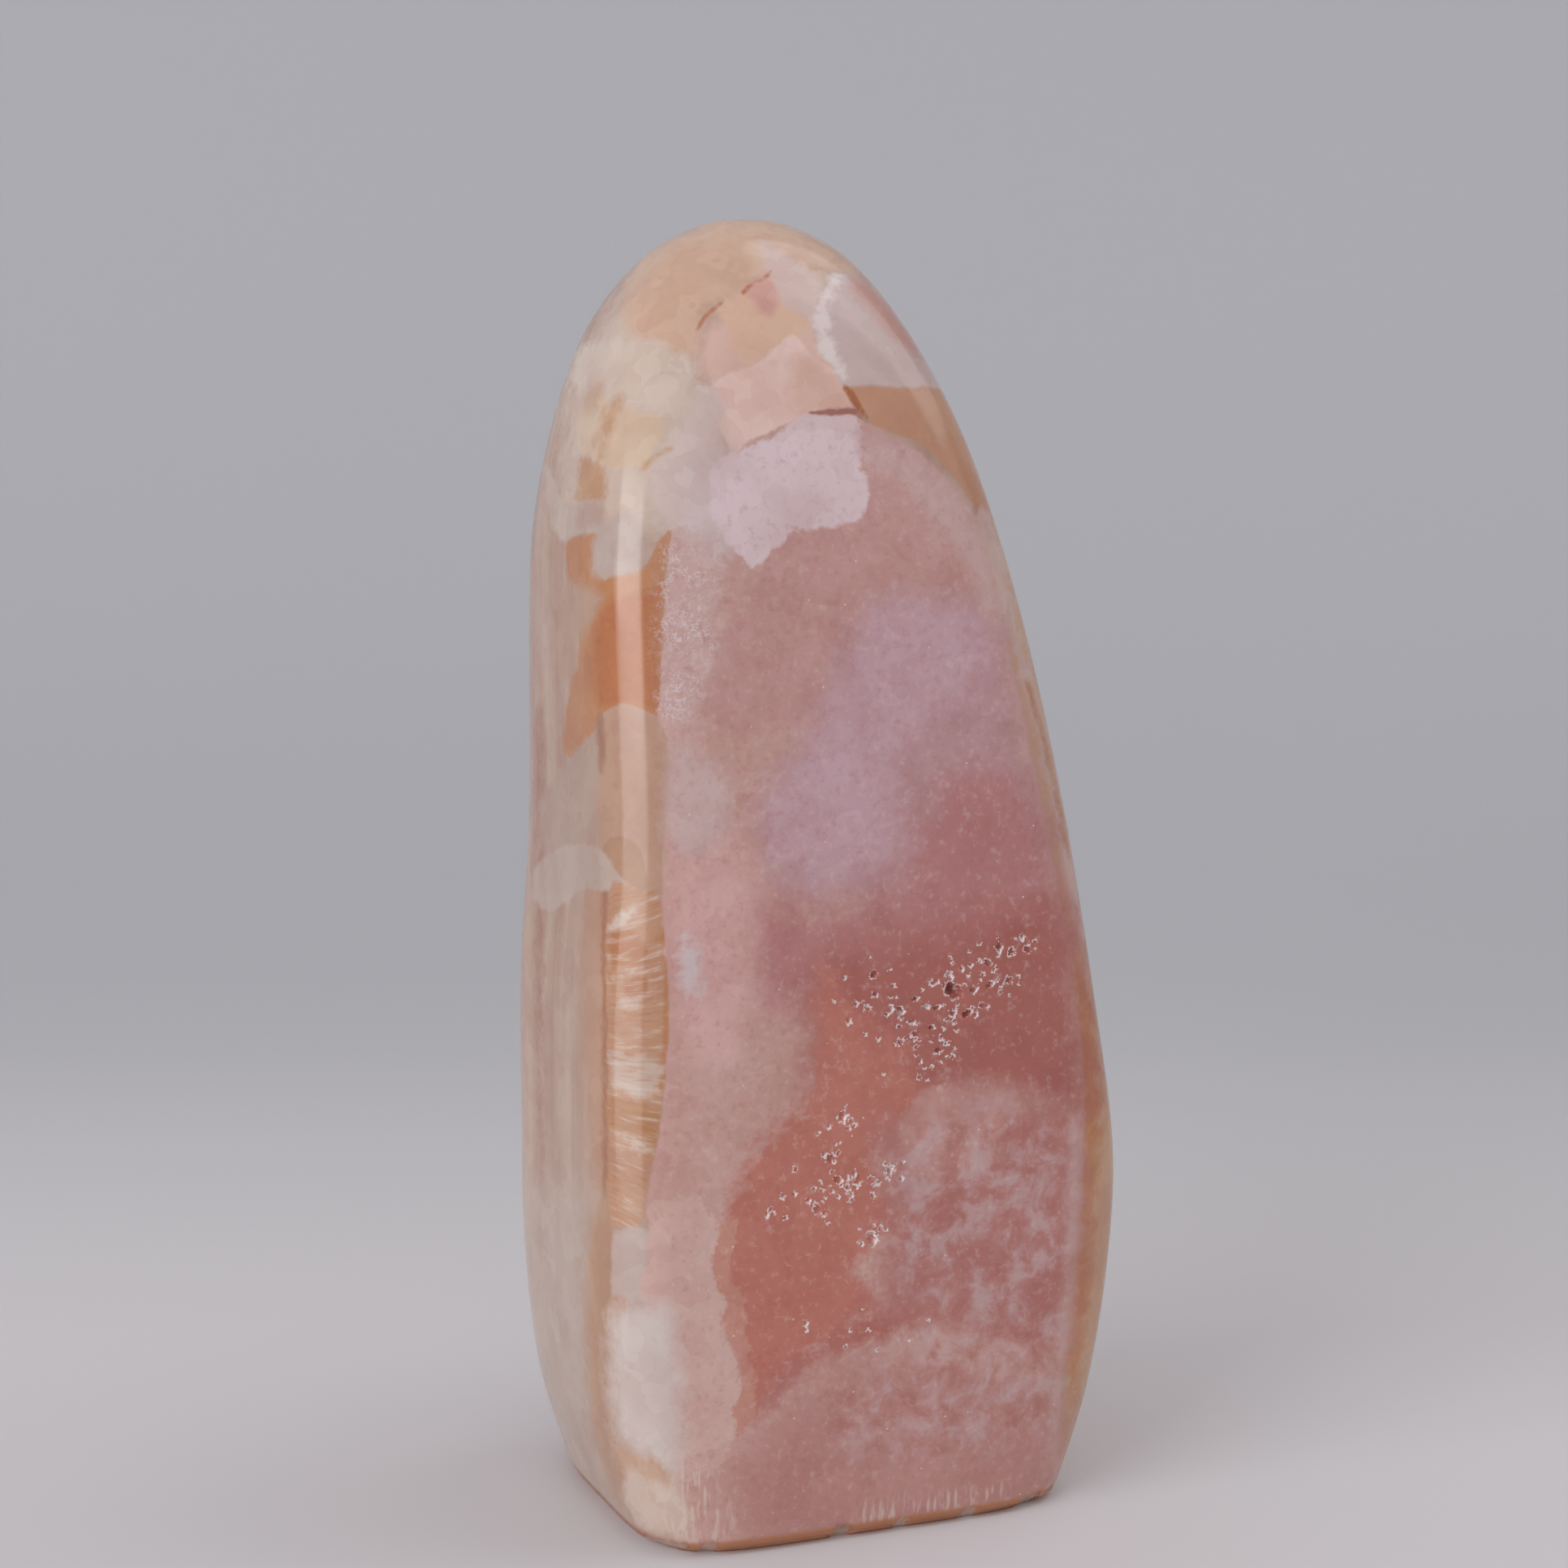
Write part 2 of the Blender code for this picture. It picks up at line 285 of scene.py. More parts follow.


# The bands and clouds that the picture shows: most are grown crystal of another colour, cut across by the polished
# skin; side_glow is a painted glow along the lit left edge. Outlines are traced in the picture's pixels. Painted
# in order, each has its colour, how soft its edge is and how far it wanders, in millimetres.
MARKINGS = {
    # painted glow: a lighter band along the lit left silhouette
    "side_glow": ("#CCAB94", 1.2, 0.4, (
        (630, 600), (652, 600), (655, 900), (656, 1200), (660, 1500), (672, 1640), (655, 1640), (630, 1500))),
    "side_amber": ("#C49B81", 1.6, 0.6, (
        (718, 1105), (748, 1098), (751, 1300), (749, 1480), (738, 1500), (724, 1400), (716, 1250))),
    "side_amber_line": ("#AF7B5A", 0.7, 0.3, (
        (741, 1110), (750, 1100), (752, 1300), (752, 1500), (745, 1640), (738, 1640), (743, 1400))),
    "side_rose_line": ("#B1826D", 1.3, 0.5, (
        (660, 900), (667, 900), (669, 1100), (668, 1300), (672, 1470), (665, 1470), (661, 1300), (661, 1100))),
    "side_pale_low": ("#C4AF9F", 9.0, 1.0, (
        (640, 1500), (700, 1470), (735, 1520), (740, 1700), (730, 1850), (640, 1850))),
    "side_amber_low": ("#C49772", 2.0, 0.6, (
        (728, 1520), (744, 1500), (748, 1640), (756, 1760), (790, 1830), (770, 1850), (735, 1780), (724, 1650))),
    "pale_shoulder": ("#D5BEAD", 3.0, 1.0, (
        (690, 560), (700, 480), (725, 430), (750, 380), (790, 340), (830, 350), (830, 420), (860, 440), (850, 520),
        (845, 640), (800, 650), (700, 640))),
    "peach_cap": ("#DBB79E", 1.8, 0.7, (
        (800, 425), (768, 400), (772, 350), (810, 290), (880, 235), (960, 215), (1050, 235), (1120, 300), (1160, 390),
        (1112, 352), (1060, 340), (1000, 335), (960, 320), (945, 335), (925, 352), (905, 368), (886, 372), (866, 388),
        (858, 430), (835, 442))),
    "rosy_throat": ("#E4BEAF", 3.0, 0.5, (
        (870, 400), (920, 365), (960, 330), (1010, 345), (1010, 400), (1030, 450), (1045, 500), (960, 520), (890, 480),
        (860, 450))),
    "cream_vein": ("#DDC1B7", 1.2, 0.3, (
        (938, 296), (985, 325), (1012, 348), (1016, 380), (1002, 408), (980, 404), (962, 370), (948, 332))),
    "amber_tooth": ("#E6BEA5", 0.8, 0.5, (
        (884, 374), (915, 366), (960, 376), (1006, 402), (985, 416), (955, 432), (918, 448), (906, 436), (896, 410))),
    "rose_crack": ("#DCA899", 1.0, 0.2, (
        (920, 352), (945, 341), (958, 362), (950, 392), (932, 376))),
    "crack_upper": ("#BE774A", 0.3, 0.1, (
        (914, 360), (924, 349), (937, 343), (949, 334), (950, 338), (940, 347), (928, 352), (917, 362))),
    "crack_lower": ("#C38560", 0.3, 0.1, (
        (858, 404), (867, 389), (879, 378), (893, 368), (893, 372), (881, 382), (870, 392), (861, 406))),
    "salmon_crystal": ("#EFCEC2", 0.4, 0.25, (
        (872, 482), (900, 458), (935, 448), (975, 412), (1003, 440), (1028, 455), (1040, 482), (1046, 508), (1010, 510),
        (985, 520), (960, 536), (930, 552), (905, 562), (890, 536), (876, 508))),
    "salmon_shade": ("#E3BAA9", 2.4, 0.5, (
        (985, 440), (1028, 455), (1042, 485), (1046, 510), (1000, 512), (972, 490))),
    "white_shoulder": ("#D2BAB4", 0.8, 0.3, (
        (1012, 352), (1035, 335), (1062, 345), (1100, 362), (1135, 410), (1165, 482), (1110, 481), (1075, 476),
        (1050, 479), (1038, 474), (1028, 452), (1008, 430), (1002, 400))),
    "white_streak": ("#EBDBD6", 1.2, 0.9, (
        (1018, 350), (1036, 338), (1024, 368), (1022, 405), (1032, 438), (1038, 462), (1012, 436), (1002, 408),
        (1006, 374))),
    "rose_shoulder": ("#D0A194", 1.4, 0.3, (
        (1046, 345), (1080, 352), (1118, 398), (1140, 440), (1112, 425), (1085, 398), (1060, 372))),
    "honey_shoulder": ("#CA9778", 0.5, 0.3, (
        (1046, 480), (1075, 476), (1115, 478), (1170, 484), (1200, 540), (1235, 610), (1255, 690), (1230, 690),
        (1210, 640), (1188, 605), (1160, 570), (1130, 545), (1100, 535), (1078, 525), (1062, 505))),
    "cream_side": ("#DDC7BE", 2.0, 0.6, (
        (830, 530), (850, 480), (880, 478), (892, 540), (888, 600), (880, 650), (845, 655), (810, 640), (800, 590),
        (815, 560))),
    "milky_brow": ("#DDC9B9", 1.6, 0.8, (
        (700, 470), (710, 430), (745, 420), (800, 422), (846, 442), (856, 480), (850, 512), (815, 506), (780, 502),
        (750, 496), (738, 476), (716, 486))),
    "peach_flag": ("#DCC1A7", 0.35, 0.3, (
        (711, 545), (712, 508), (735, 478), (750, 500), (765, 503), (811, 513), (815, 540), (806, 556), (793, 572),
        (770, 577), (752, 577), (736, 572), (722, 562))),
    "peach_streaks": ("#CCA07D", 1.8, 0.6, (
        (738, 565), (742, 530), (750, 498), (762, 492), (756, 520), (746, 548))),
    "peach_streaks_left": ("#CFAD91", 1.8, 0.6, (
        (720, 512), (724, 488), (736, 474), (742, 482), (734, 505))),
    "amber_fringe": ("#CEA47E", 0.7, 0.3, (
        (790, 580), (799, 566), (812, 555), (832, 549), (828, 555), (812, 562), (800, 573))),
    "amber_block": ("#C89B76", 1.0, 0.5, (
        (714, 572), (722, 566), (742, 577), (746, 598), (742, 616), (711, 619), (713, 596))),
    "white_wedge": ("#CBB5A5", 0.6, 0.3, (
        (666, 565), (684, 592), (700, 620), (738, 617), (748, 638), (740, 656), (716, 658), (700, 668), (684, 656),
        (674, 618))),
    "pink_block": ("#C3A798", 1.6, 0.4, (
        (714, 622), (738, 621), (744, 645), (716, 648))),
    "honey_column": ("#C4885C", 0.35, 0.3, (
        (700, 668), (716, 660), (736, 660), (732, 690), (742, 712), (765, 708), (790, 700), (803, 686), (815, 666),
        (827, 656), (822, 700), (818, 740), (815, 800), (813, 850), (810, 882), (795, 875), (768, 868), (745, 878),
        (734, 900), (716, 922), (700, 935), (694, 900), (702, 850), (714, 800), (704, 740), (699, 700))),
    "honey_haze": ("#C09C85", 1.6, 0.5, (
        (696, 720), (730, 726), (742, 740), (722, 775), (708, 800), (694, 850), (686, 780))),
    "deep_honey": ("#BE7647", 1.4, 0.3, (
        (745, 745), (765, 735), (800, 728), (818, 712), (815, 770), (814, 880), (796, 872), (768, 866), (745, 874),
        (732, 850), (728, 800))),
    "white_cloud": ("#C3AEA2", 1.4, 0.4, (
        (745, 645), (765, 628), (782, 632), (792, 655), (796, 685), (788, 702), (770, 708), (752, 706), (738, 712),
        (730, 692), (730, 668))),
    "peach_column": ("#C39B82", 0.35, 0.25, (
        (735, 900), (745, 878), (768, 867), (792, 876), (810, 885), (822, 902), (824, 950), (820, 1000), (817, 1060),
        (814, 1110), (780, 1098), (765, 1085), (745, 1060), (735, 1030), (730, 1000), (733, 950))),
    "peach_seam": ("#AB7F69", 0.7, 0.2, (
        (735, 890), (742, 880), (746, 915), (744, 950), (736, 945))),
    "amber_wedge": ("#B98E70", 0.3, 0.2, (
        (742, 1045), (762, 1030), (790, 1048), (796, 1102), (770, 1089), (752, 1064))),
    "grey_plane": ("#BEA18F", 1.0, 0.4, (
        (690, 950), (730, 905), (736, 940), (734, 1000), (742, 1045), (715, 1035), (680, 1060), (665, 1000))),
    "white_plane": ("#C6AFA0", 0.5, 0.3, (
        (662, 1065), (700, 1042), (735, 1043), (752, 1062), (772, 1090), (748, 1098), (720, 1095), (700, 1110),
        (676, 1122), (656, 1104))),
    "fibre_band": ("#C79776", 0.4, 0.3, (
        (750, 1100), (790, 1098), (814, 1105), (818, 1150), (823, 1200), (825, 1270), (820, 1330), (815, 1370),
        (808, 1410), (800, 1450), (795, 1480), (790, 1510), (768, 1512), (750, 1490), (748, 1300))),
    "comb_amber_high": ("#BF8255", 0.8, 0.7, (
        (752, 1150), (775, 1142), (790, 1150), (792, 1186), (772, 1192), (754, 1190))),
    "comb_amber_middle": ("#BB7C4F", 0.6, 0.5, (
        (772, 1206), (794, 1203), (796, 1224), (774, 1228))),
    "comb_amber_low": ("#BE8A60", 1.0, 0.8, (
        (754, 1350), (790, 1362), (814, 1372), (810, 1412), (790, 1408), (754, 1386))),
    "comb_white_top": ("#DAC4B4", 1.0, 0.6, (
        (750, 1143), (762, 1130), (786, 1113), (789, 1117), (772, 1134), (756, 1146))),
    "comb_white_upper": ("#D6BCA9", 0.9, 0.7, (
        (762, 1200), (776, 1194), (786, 1197), (776, 1203), (764, 1206))),
    "comb_white_middle": ("#D6BCA9", 0.9, 0.7, (
        (762, 1236), (776, 1233), (788, 1236), (786, 1241), (766, 1241))),
    "comb_white_low": ("#D6BCA9", 0.9, 0.7, (
        (770, 1398), (790, 1408), (804, 1417), (801, 1422), (784, 1413), (768, 1403))),
    "honey_seam": ("#C58759", 0.35, 0.2, (
        (812, 1128), (820, 1150), (824, 1220), (823, 1300), (817, 1345), (812, 1345), (816, 1290), (817, 1220),
        (813, 1160))),
    "fibre_pale": ("#D0B5A2", 0.9, 0.7, (
        (752, 1302), (780, 1300), (810, 1306), (812, 1340), (795, 1352), (765, 1342), (752, 1340))),
    "pale_foot": ("#CEB9AE", 0.9, 0.5, (
        (748, 1548), (766, 1515), (792, 1512), (822, 1530), (838, 1560), (830, 1600), (780, 1602), (748, 1612))),
    "amber_foot": ("#BE967A", 0.5, 0.2, (
        (736, 1500), (752, 1500), (752, 1740), (762, 1800), (782, 1850), (762, 1835), (744, 1780), (735, 1700))),
    "amber_chip": ("#C79B7F", 0.6, 0.2, (
        (752, 1600), (772, 1600), (768, 1626), (754, 1626))),
    "honey_edge": ("#CB9E7E", 0.8, 0.5, (
        (1200, 640), (1240, 680), (1290, 820), (1330, 1000), (1352, 1150), (1385, 1300), (1405, 1450), (1398, 1600),
        (1370, 1740), (1330, 1860), (1290, 1840), (1303, 1780), (1318, 1600), (1333, 1400), (1333, 1300), (1320, 1200),
        (1300, 1080), (1275, 950), (1240, 800))),
    "deep_honey_edge": ("#C3824C", 1.4, 0.6, (
        (1322, 1180), (1342, 1230), (1353, 1330), (1352, 1420), (1346, 1500), (1340, 1600), (1324, 1720), (1317, 1720),
        (1324, 1600), (1332, 1450), (1332, 1330), (1326, 1240))),
    "pale_edge": ("#D6BAB0", 1.0, 0.4, (
        (1204, 640), (1238, 760), (1262, 850), (1288, 960), (1308, 1060), (1326, 1150), (1340, 1150), (1322, 1060),
        (1303, 960), (1281, 870), (1254, 770), (1222, 640))),
    "honey_thread": ("#C48F69", 0.6, 0.3, (
        (1268, 840), (1288, 905), (1306, 985), (1318, 1050), (1313, 1050), (1300, 985), (1281, 905), (1264, 845))),
    "pink_zone": ("#D3A79D", 0.35, 0.3, (
        (828, 660), (850, 645), (885, 645), (900, 562), (1000, 510), (1045, 510), (1075, 525), (1100, 538),
        (1130, 555), (1160, 585), (1190, 622), (1212, 665), (1240, 790), (1275, 950), (1300, 1080), (1320, 1200),
        (1333, 1300), (1335, 1400), (1327, 1500), (1318, 1600), (1308, 1700), (1302, 1780), (1294, 1850), (1100, 1920),
        (850, 1930), (832, 1880), (828, 1820), (838, 1740), (838, 1660), (832, 1600), (836, 1560), (815, 1528),
        (797, 1505), (802, 1450), (810, 1410), (818, 1350), (825, 1270), (823, 1200), (818, 1150), (818, 1060),
        (824, 1000), (826, 950), (822, 905), (812, 885), (814, 850), (816, 800), (820, 740), (822, 700))),
    "rose_crown": ("#CE9E97", 1.6, 0.8, (
        (935, 705), (958, 672), (985, 656), (1040, 647), (1064, 636), (1075, 590), (1110, 590), (1150, 625),
        (1185, 680), (1210, 750), (1150, 748), (1090, 765), (1040, 800), (1005, 870), (950, 905), (890, 900),
        (870, 850), (895, 770))),
    "lilac_field": ("#C79B9D", 5.0, 1.2, (
        (1045, 800), (1100, 765), (1170, 750), (1225, 765), (1250, 850), (1268, 950), (1285, 1050), (1230, 1080),
        (1150, 1100), (1080, 1110), (1010, 1110), (962, 1080), (948, 1000), (982, 930), (1012, 880))),
    "rose_bank": ("#C08280", 6.0, 1.4, (
        (1150, 985), (1190, 945), (1235, 950), (1280, 1000), (1308, 1090), (1325, 1180), (1240, 1210), (1120, 1215),
        (1020, 1225), (955, 1245), (928, 1190), (925, 1110), (975, 1118), (1040, 1120), (1110, 1070))),
    "lilac_heart": ("#D2ACB4", 5.0, 1.4, (
        (1075, 745), (1135, 738), (1195, 748), (1218, 790), (1195, 845), (1148, 880), (1105, 920), (1098, 985),
        (1095, 1040), (1060, 1075), (1010, 1085), (965, 1070), (940, 1025), (950, 970), (992, 920), (1022, 870),
        (1048, 800))),
    "left_blush": ("#DEB0A9", 4.0, 1.0, (
        (832, 1060), (890, 1025), (925, 1055), (930, 1120), (922, 1240), (905, 1310), (860, 1300), (835, 1210))),
    "lilac_margin": ("#D7BAB5", 3.0, 0.8, (
        (828, 925), (870, 935), (895, 975), (885, 1035), (850, 1055), (822, 1020))),
    "rose_belt": ("#B56A5F", 7.0, 1.2, (
        (1000, 1205), (1060, 1170), (1150, 1150), (1260, 1115), (1315, 1130), (1335, 1250), (1345, 1365), (1290, 1365),
        (1200, 1345), (1150, 1362), (1080, 1380), (1040, 1390), (1000, 1345), (1003, 1270))),
    "rose_lower": ("#C77B6A", 2.6, 1.3, (
        (1008, 1200), (1035, 1215), (1090, 1270), (1130, 1330), (1160, 1352), (1110, 1385), (1075, 1425), (1095, 1480),
        (1095, 1520), (1055, 1560), (1085, 1600), (1050, 1640), (980, 1680), (930, 1745), (912, 1700), (900, 1650),
        (890, 1580), (884, 1530), (898, 1480), (925, 1430), (960, 1385), (1000, 1345), (1008, 1270))),
    "rose_hollow": ("#BE7367", 2.6, 1.4, (
        (935, 1735), (960, 1690), (1010, 1655), (1060, 1625), (1130, 1600), (1165, 1590), (1150, 1625), (1090, 1650),
        (1040, 1665), (1000, 1690), (960, 1725))),
    "rose_right": ("#BC7468", 4.0, 1.0, (
        (1240, 1385), (1290, 1380), (1325, 1400), (1322, 1500), (1308, 1565), (1270, 1555), (1255, 1500),
        (1235, 1440))),
    "low_pink": ("#C79189", 6.0, 1.0, (
        (925, 1770), (1000, 1700), (1100, 1675), (1200, 1680), (1295, 1700), (1288, 1850), (1100, 1890), (930, 1900),
        (895, 1830))),
    "rose_field": ("#C08179", 5.0, 1.2, (
        (1085, 1400), (1180, 1372), (1320, 1390), (1318, 1640), (1250, 1665), (1150, 1635), (1080, 1600),
        (1100, 1500))),
    "pale_dome": ("#CB958C", 1.0, 0.7, (
        (1118, 1440), (1112, 1390), (1130, 1352), (1160, 1340), (1200, 1345), (1230, 1380), (1235, 1420), (1200, 1445),
        (1150, 1452))),
    "pale_foot_margin": ("#D9B3A8", 0.5, 1.1, (
        (800, 1500), (850, 1470), (885, 1500), (890, 1540), (885, 1570), (900, 1600), (893, 1640), (908, 1670),
        (918, 1700), (915, 1740), (900, 1780), (880, 1815), (840, 1830), (800, 1830), (790, 1700))),
    "blush_step": ("#CF9280", 0.5, 0.9, (
        (890, 1500), (908, 1520), (900, 1570), (915, 1605), (922, 1660), (930, 1700), (922, 1745), (910, 1770),
        (906, 1740), (912, 1700), (902, 1660), (890, 1630), (896, 1600), (880, 1570))),
    "cotton_haze": ("#DCC7C2", 4.0, 1.0, (
        (846, 560), (880, 548), (905, 560), (915, 620), (905, 670), (880, 690), (850, 660), (838, 610))),
    "cotton": ("#E7CFD1", 0.5, 0.6, (
        (900, 558), (930, 547), (960, 531), (980, 515), (1008, 507), (1046, 509), (1060, 526), (1060, 570),
        (1068, 602), (1061, 634), (1038, 646), (1000, 650), (976, 657), (955, 674), (940, 692), (922, 698),
        (905, 676), (886, 650), (876, 620), (872, 592), (884, 572))),
    "lilac_arch": ("#D3AEA9", 2.0, 0.6, (
        (1062, 530), (1100, 540), (1132, 558), (1165, 592), (1192, 626), (1212, 668), (1230, 760), (1215, 760),
        (1190, 690), (1150, 640), (1100, 590), (1066, 570))),
    "rose_seam": ("#AF7468", 0.3, 0.2, (
        (1000, 506), (1046, 503), (1062, 511), (1062, 516), (1046, 510), (1002, 512))),
    "amber_wedge_top": ("#B26B41", 0.35, 0.1, (
        (1037, 474), (1049, 480), (1060, 497), (1072, 518), (1063, 512), (1050, 496))),
    "white_foot": ("#DED0C8", 3.0, 0.8, (
        (754, 1625), (782, 1606), (822, 1616), (838, 1680), (842, 1740), (836, 1800), (820, 1830), (785, 1810),
        (758, 1742))),
    "cream_toe": ("#DFC9BA", 1.5, 0.6, (
        (775, 1800), (810, 1808), (835, 1830), (850, 1870), (845, 1900), (800, 1885), (770, 1850))),
    "amber_toe": ("#D2AD93", 1.6, 0.8, (
        (762, 1782), (800, 1796), (830, 1818), (822, 1832), (795, 1818), (764, 1802))),
    "white_fleck": ("#DECECF", 2.4, 1.6, (
        (842, 1170), (858, 1164), (864, 1190), (858, 1214), (842, 1220), (838, 1200))),
    "pale_line": ("#D0ABA3", 1.8, 0.3, (
        (1322, 1380), (1328, 1430), (1324, 1520), (1312, 1640), (1300, 1770), (1294, 1770), (1306, 1640),
        (1317, 1520), (1319, 1430))),
}
# Where the stone's texture changes rather than its colour, as outlines in the same pixels.
TEXTURES = {
    "grainy": MARKINGS["pink_zone"][-1],
    "frosted": ((810, 690), (830, 652), (862, 648), (884, 700), (888, 800), (872, 880), (850, 908), (812, 902),
                (806, 800)),
    "clouded": ((1090, 1400), (1180, 1360), (1310, 1370), (1330, 1500), (1318, 1650), (1290, 1780), (1120, 1800),
                (1035, 1785), (1010, 1730), (1080, 1680), (1122, 1620), (1085, 1540), (1090, 1450)),
    "fibrous": ((750, 1098), (792, 1096), (814, 1105), (820, 1200), (822, 1290), (814, 1380), (800, 1450),
                (788, 1515), (766, 1515), (750, 1490), (747, 1300)),
    "abraded_left": ((825, 1818), (868, 1800), (888, 1830), (905, 1885), (860, 1905), (820, 1895)),
    "abraded_right": ((1065, 1858), (1150, 1842), (1235, 1828), (1240, 1850), (1150, 1878), (1060, 1888)),
}
PIXELS_PER_MM = 11.8
OUT_OF_SIGHT = -50.0
EDGE_RUN = 0.8  # share of a marking's softness over which its colour comes in
PACK = 3  # markings stored together, as the three parts of one vector
SEEN_FADE = (-0.03, 0.06)  # facing share over which the traced bands give way to the unseen side's own


def rounded(outline, steps=4):
    """A closed outline with its corners eased into curves."""
    corners = [np.array(p, float) for p in outline]
    count = len(corners)
    return np.array([
        between(corners[i - 1], corners[i], corners[(i + 1) % count], corners[(i + 2) % count], k / steps)
        for i in range(count) for k in range(steps)])


def depth_inside(places, outline):
    """How far inside a closed outline each place lies, in its units; outside is negative."""
    best = np.full(len(places), np.inf)
    inside = np.zeros(len(places), bool)
    for start, end in zip(outline, np.roll(outline, -1, axis=0)):
        side = end - start
        gap = places - start
        share = np.clip(gap @ side / (side @ side), 0, 1)
        best = np.minimum(best, np.hypot(*(gap - share[:, None] * side).T))
        crosses = (start[1] > places[:, 1]) != (end[1] > places[:, 1])
        rise = side[1] if side[1] else 1e-9
        inside ^= crosses & (places[:, 0] < start[0] + side[0] * (places[:, 1] - start[1]) / rise)
    return np.where(inside, best, -best)


def store(mesh, name, values):
    layer = mesh.attributes.new(name, "FLOAT", "POINT")
    layer.data.foreach_set("value", np.asarray(values, np.float32))


def make_stone():
    pits = all_pits()
    bm = stone_skin()
    bm.normal_update()
    finer_round_pits(bm, pits)
    mesh = bpy.data.meshes.new("polished_stone")
    bm.to_mesh(mesh)
    bm.free()
    count = len(mesh.vertices)
    points = np.empty(count * 3)
    normals = np.empty(count * 3)
    mesh.vertices.foreach_get("co", points)
    mesh.vertices.foreach_get("normal", normals)
    points = points.reshape(-1, 3) / MM
    normals = normals.reshape(-1, 3)
    to_camera = np.array(camera_place) / MM - points
    to_camera /= np.linalg.norm(to_camera, axis=1)[:, None]
    facing = (normals * to_camera).sum(axis=1)
    places = in_picture(points * MM)
    chipped = break_chips(points)
    rim, hollow = press_pits(points, normals, pits)
    mesh.vertices.foreach_set("co", (points * MM).ravel())
    low, high = SEEN_FADE
    seen = np.clip((facing - low) / (high - low), 0, 1)
    store(mesh, "seen", seen)
    for name, outline in TEXTURES.items():
        depths = depth_inside(places, rounded(outline)) / PIXELS_PER_MM
        store(mesh, name, np.where(seen > 0, depths, OUT_OF_SIGHT))
    shares = []
    for _, softness, _, outline in MARKINGS.values():
        depths = depth_inside(places, rounded(outline)) / PIXELS_PER_MM
        shares.append(np.where(seen > 0, depths / (EDGE_RUN * softness) + 0.5, OUT_OF_SIGHT))
    for first in range(0, len(shares), PACK):
        layer = mesh.attributes.new(f"markings_{first}", "FLOAT_VECTOR", "POINT")
        layer.data.foreach_set("vector", np.column_stack(shares[first : first + PACK]).astype(np.float32).ravel())
    store(mesh, "pit_rim", rim)
    store(mesh, "pit_hollow", hollow)
    store(mesh, "chipped", chipped)
    store(mesh, "sawn", (points[:, 2] < 0.01) & (normals[:, 2] < -0.9))
    mesh.shade_smooth()
    mesh.update()
    piece = bpy.data.objects.new("polished_stone", mesh)
    bpy.context.scene.collection.objects.link(piece)
    return piece


def colour(hex_value):
    """An sRGB hex colour as linear RGBA."""
    parts = [int(hex_value[i : i + 2], 16) / 255 for i in (1, 3, 5)]
    return (*(c / 12.92 if c <= 0.04045 else ((c + 0.055) / 1.055) ** 2.4 for c in parts), 1.0)


def add(tree, kind, settings=None, out=0, **inputs):
    """Adds a node with its settings and gives one of its outputs. An input is a value, a hex colour or another
    node's output, given under its socket's name, or under i and its socket's number."""
    node = tree.nodes.new(kind)
    for key, value in (settings or {}).items():
        setattr(node, key, value)
    for key, value in inputs.items():
        socket = node.inputs[int(key[1:]) if key[1:].isdigit() else key.replace("_", " ")]
        if isinstance(value, bpy.types.NodeSocket):
            tree.links.new(value, socket)
        elif isinstance(value, str) and value.startswith("#"):
            socket.default_value = colour(value)
        else:
            socket.default_value = value
    return node.outputs[out]


# The material is polished aragonite, a fine-grained carbonate sanded and buffed to a soft gloss. Light sinks a few
# millimetres in and glows back, so edges look lit from inside. Each pattern is as wide as it is on the stone.
STONE_IOR = 1.6
POLISH, PIT_ROUGHNESS, SAWN_ROUGHNESS = 0.11, 0.5, 0.6
UNEVEN_POLISH, POLISH_PATCH = 0.08, 1.5 * MM
GLOW_SHARE = 0.35
GLOW_DEPTH = 2.5 * MM
GLOW_REACH = (1.0, 0.55, 0.4)  # red light travels furthest
BAY, BAY_PUSH = 2.2 * MM, 3.2  # bays along a band's edge, and how far they move it
SCALLOP, SCALLOP_PUSH = 0.6 * MM, 1.6  # small scallops along those bays
CRYSTAL = 2.6 * MM  # width of the interlocking crystals that the polish cuts across
CLOUD = 7.0 * MM
SHADE = "#F1E6E4"  # tints the darker crystals and clouds within every band
BAND, BAND_BEND, BAND_PUSH = 11 * MM, 20 * MM, 6 * MM
STREAK = 3.5 * MM
STREAK_STRETCH = 0.09  # bands run up the stone, so the noise is slow along Z
HONEY_LEAN = -3.2  # honey bands gather towards the right end, cream ones towards the left
PLANE, PLANE_TURN = 9 * MM, (0.5, 0.3, 0)  # pale planes across the hidden bands
MILKY_PATCH = 14 * MM
FIBRE, FIBRE_BEND, FIBRE_PUSH = 4 * MM, 3 * MM, 1.2 * MM
FIBRE_SQUEEZE = 7.0  # fibres lie across the stone, so the noise is quick along Z
FAN_X, FAN_HEIGHT, FAN_REACH = -26 * MM, 52 * MM, 30 * MM  # where the fibres lie level, and how far from their root
TUFT, TUFT_BEND, TUFT_PUSH = 3.4 * MM, 4 * MM, 3 * MM  # milky tufts in the clouded part
GRAIN, GRAIN_BEND, GRAIN_PUSH = 0.42 * MM, 0.9 * MM, 1.1 * MM  # sugary grains in the frosted margin
TEAR, FROST_PATCH = 0.7 * MM, 3 * MM
SPECK = 1.3 * MM
MOTTLE = 0.9 * MM
BRUISE, BRUISE_RAGGED, RIM_HEIGHT, RIM_EDGE = 1.6 * MM, 2.6 * MM, 2.3 * MM, 0.5 * MM
# painted glow and shade: the bevel under the rim is coloured amber for light carried through the stone and the shade
# beneath its edge
BEVEL_LOW, BEVEL_HIGH = 1.4 * MM, 1.9 * MM
SCRATCH, SCRATCH_STRETCH = 0.45 * MM, 0.14
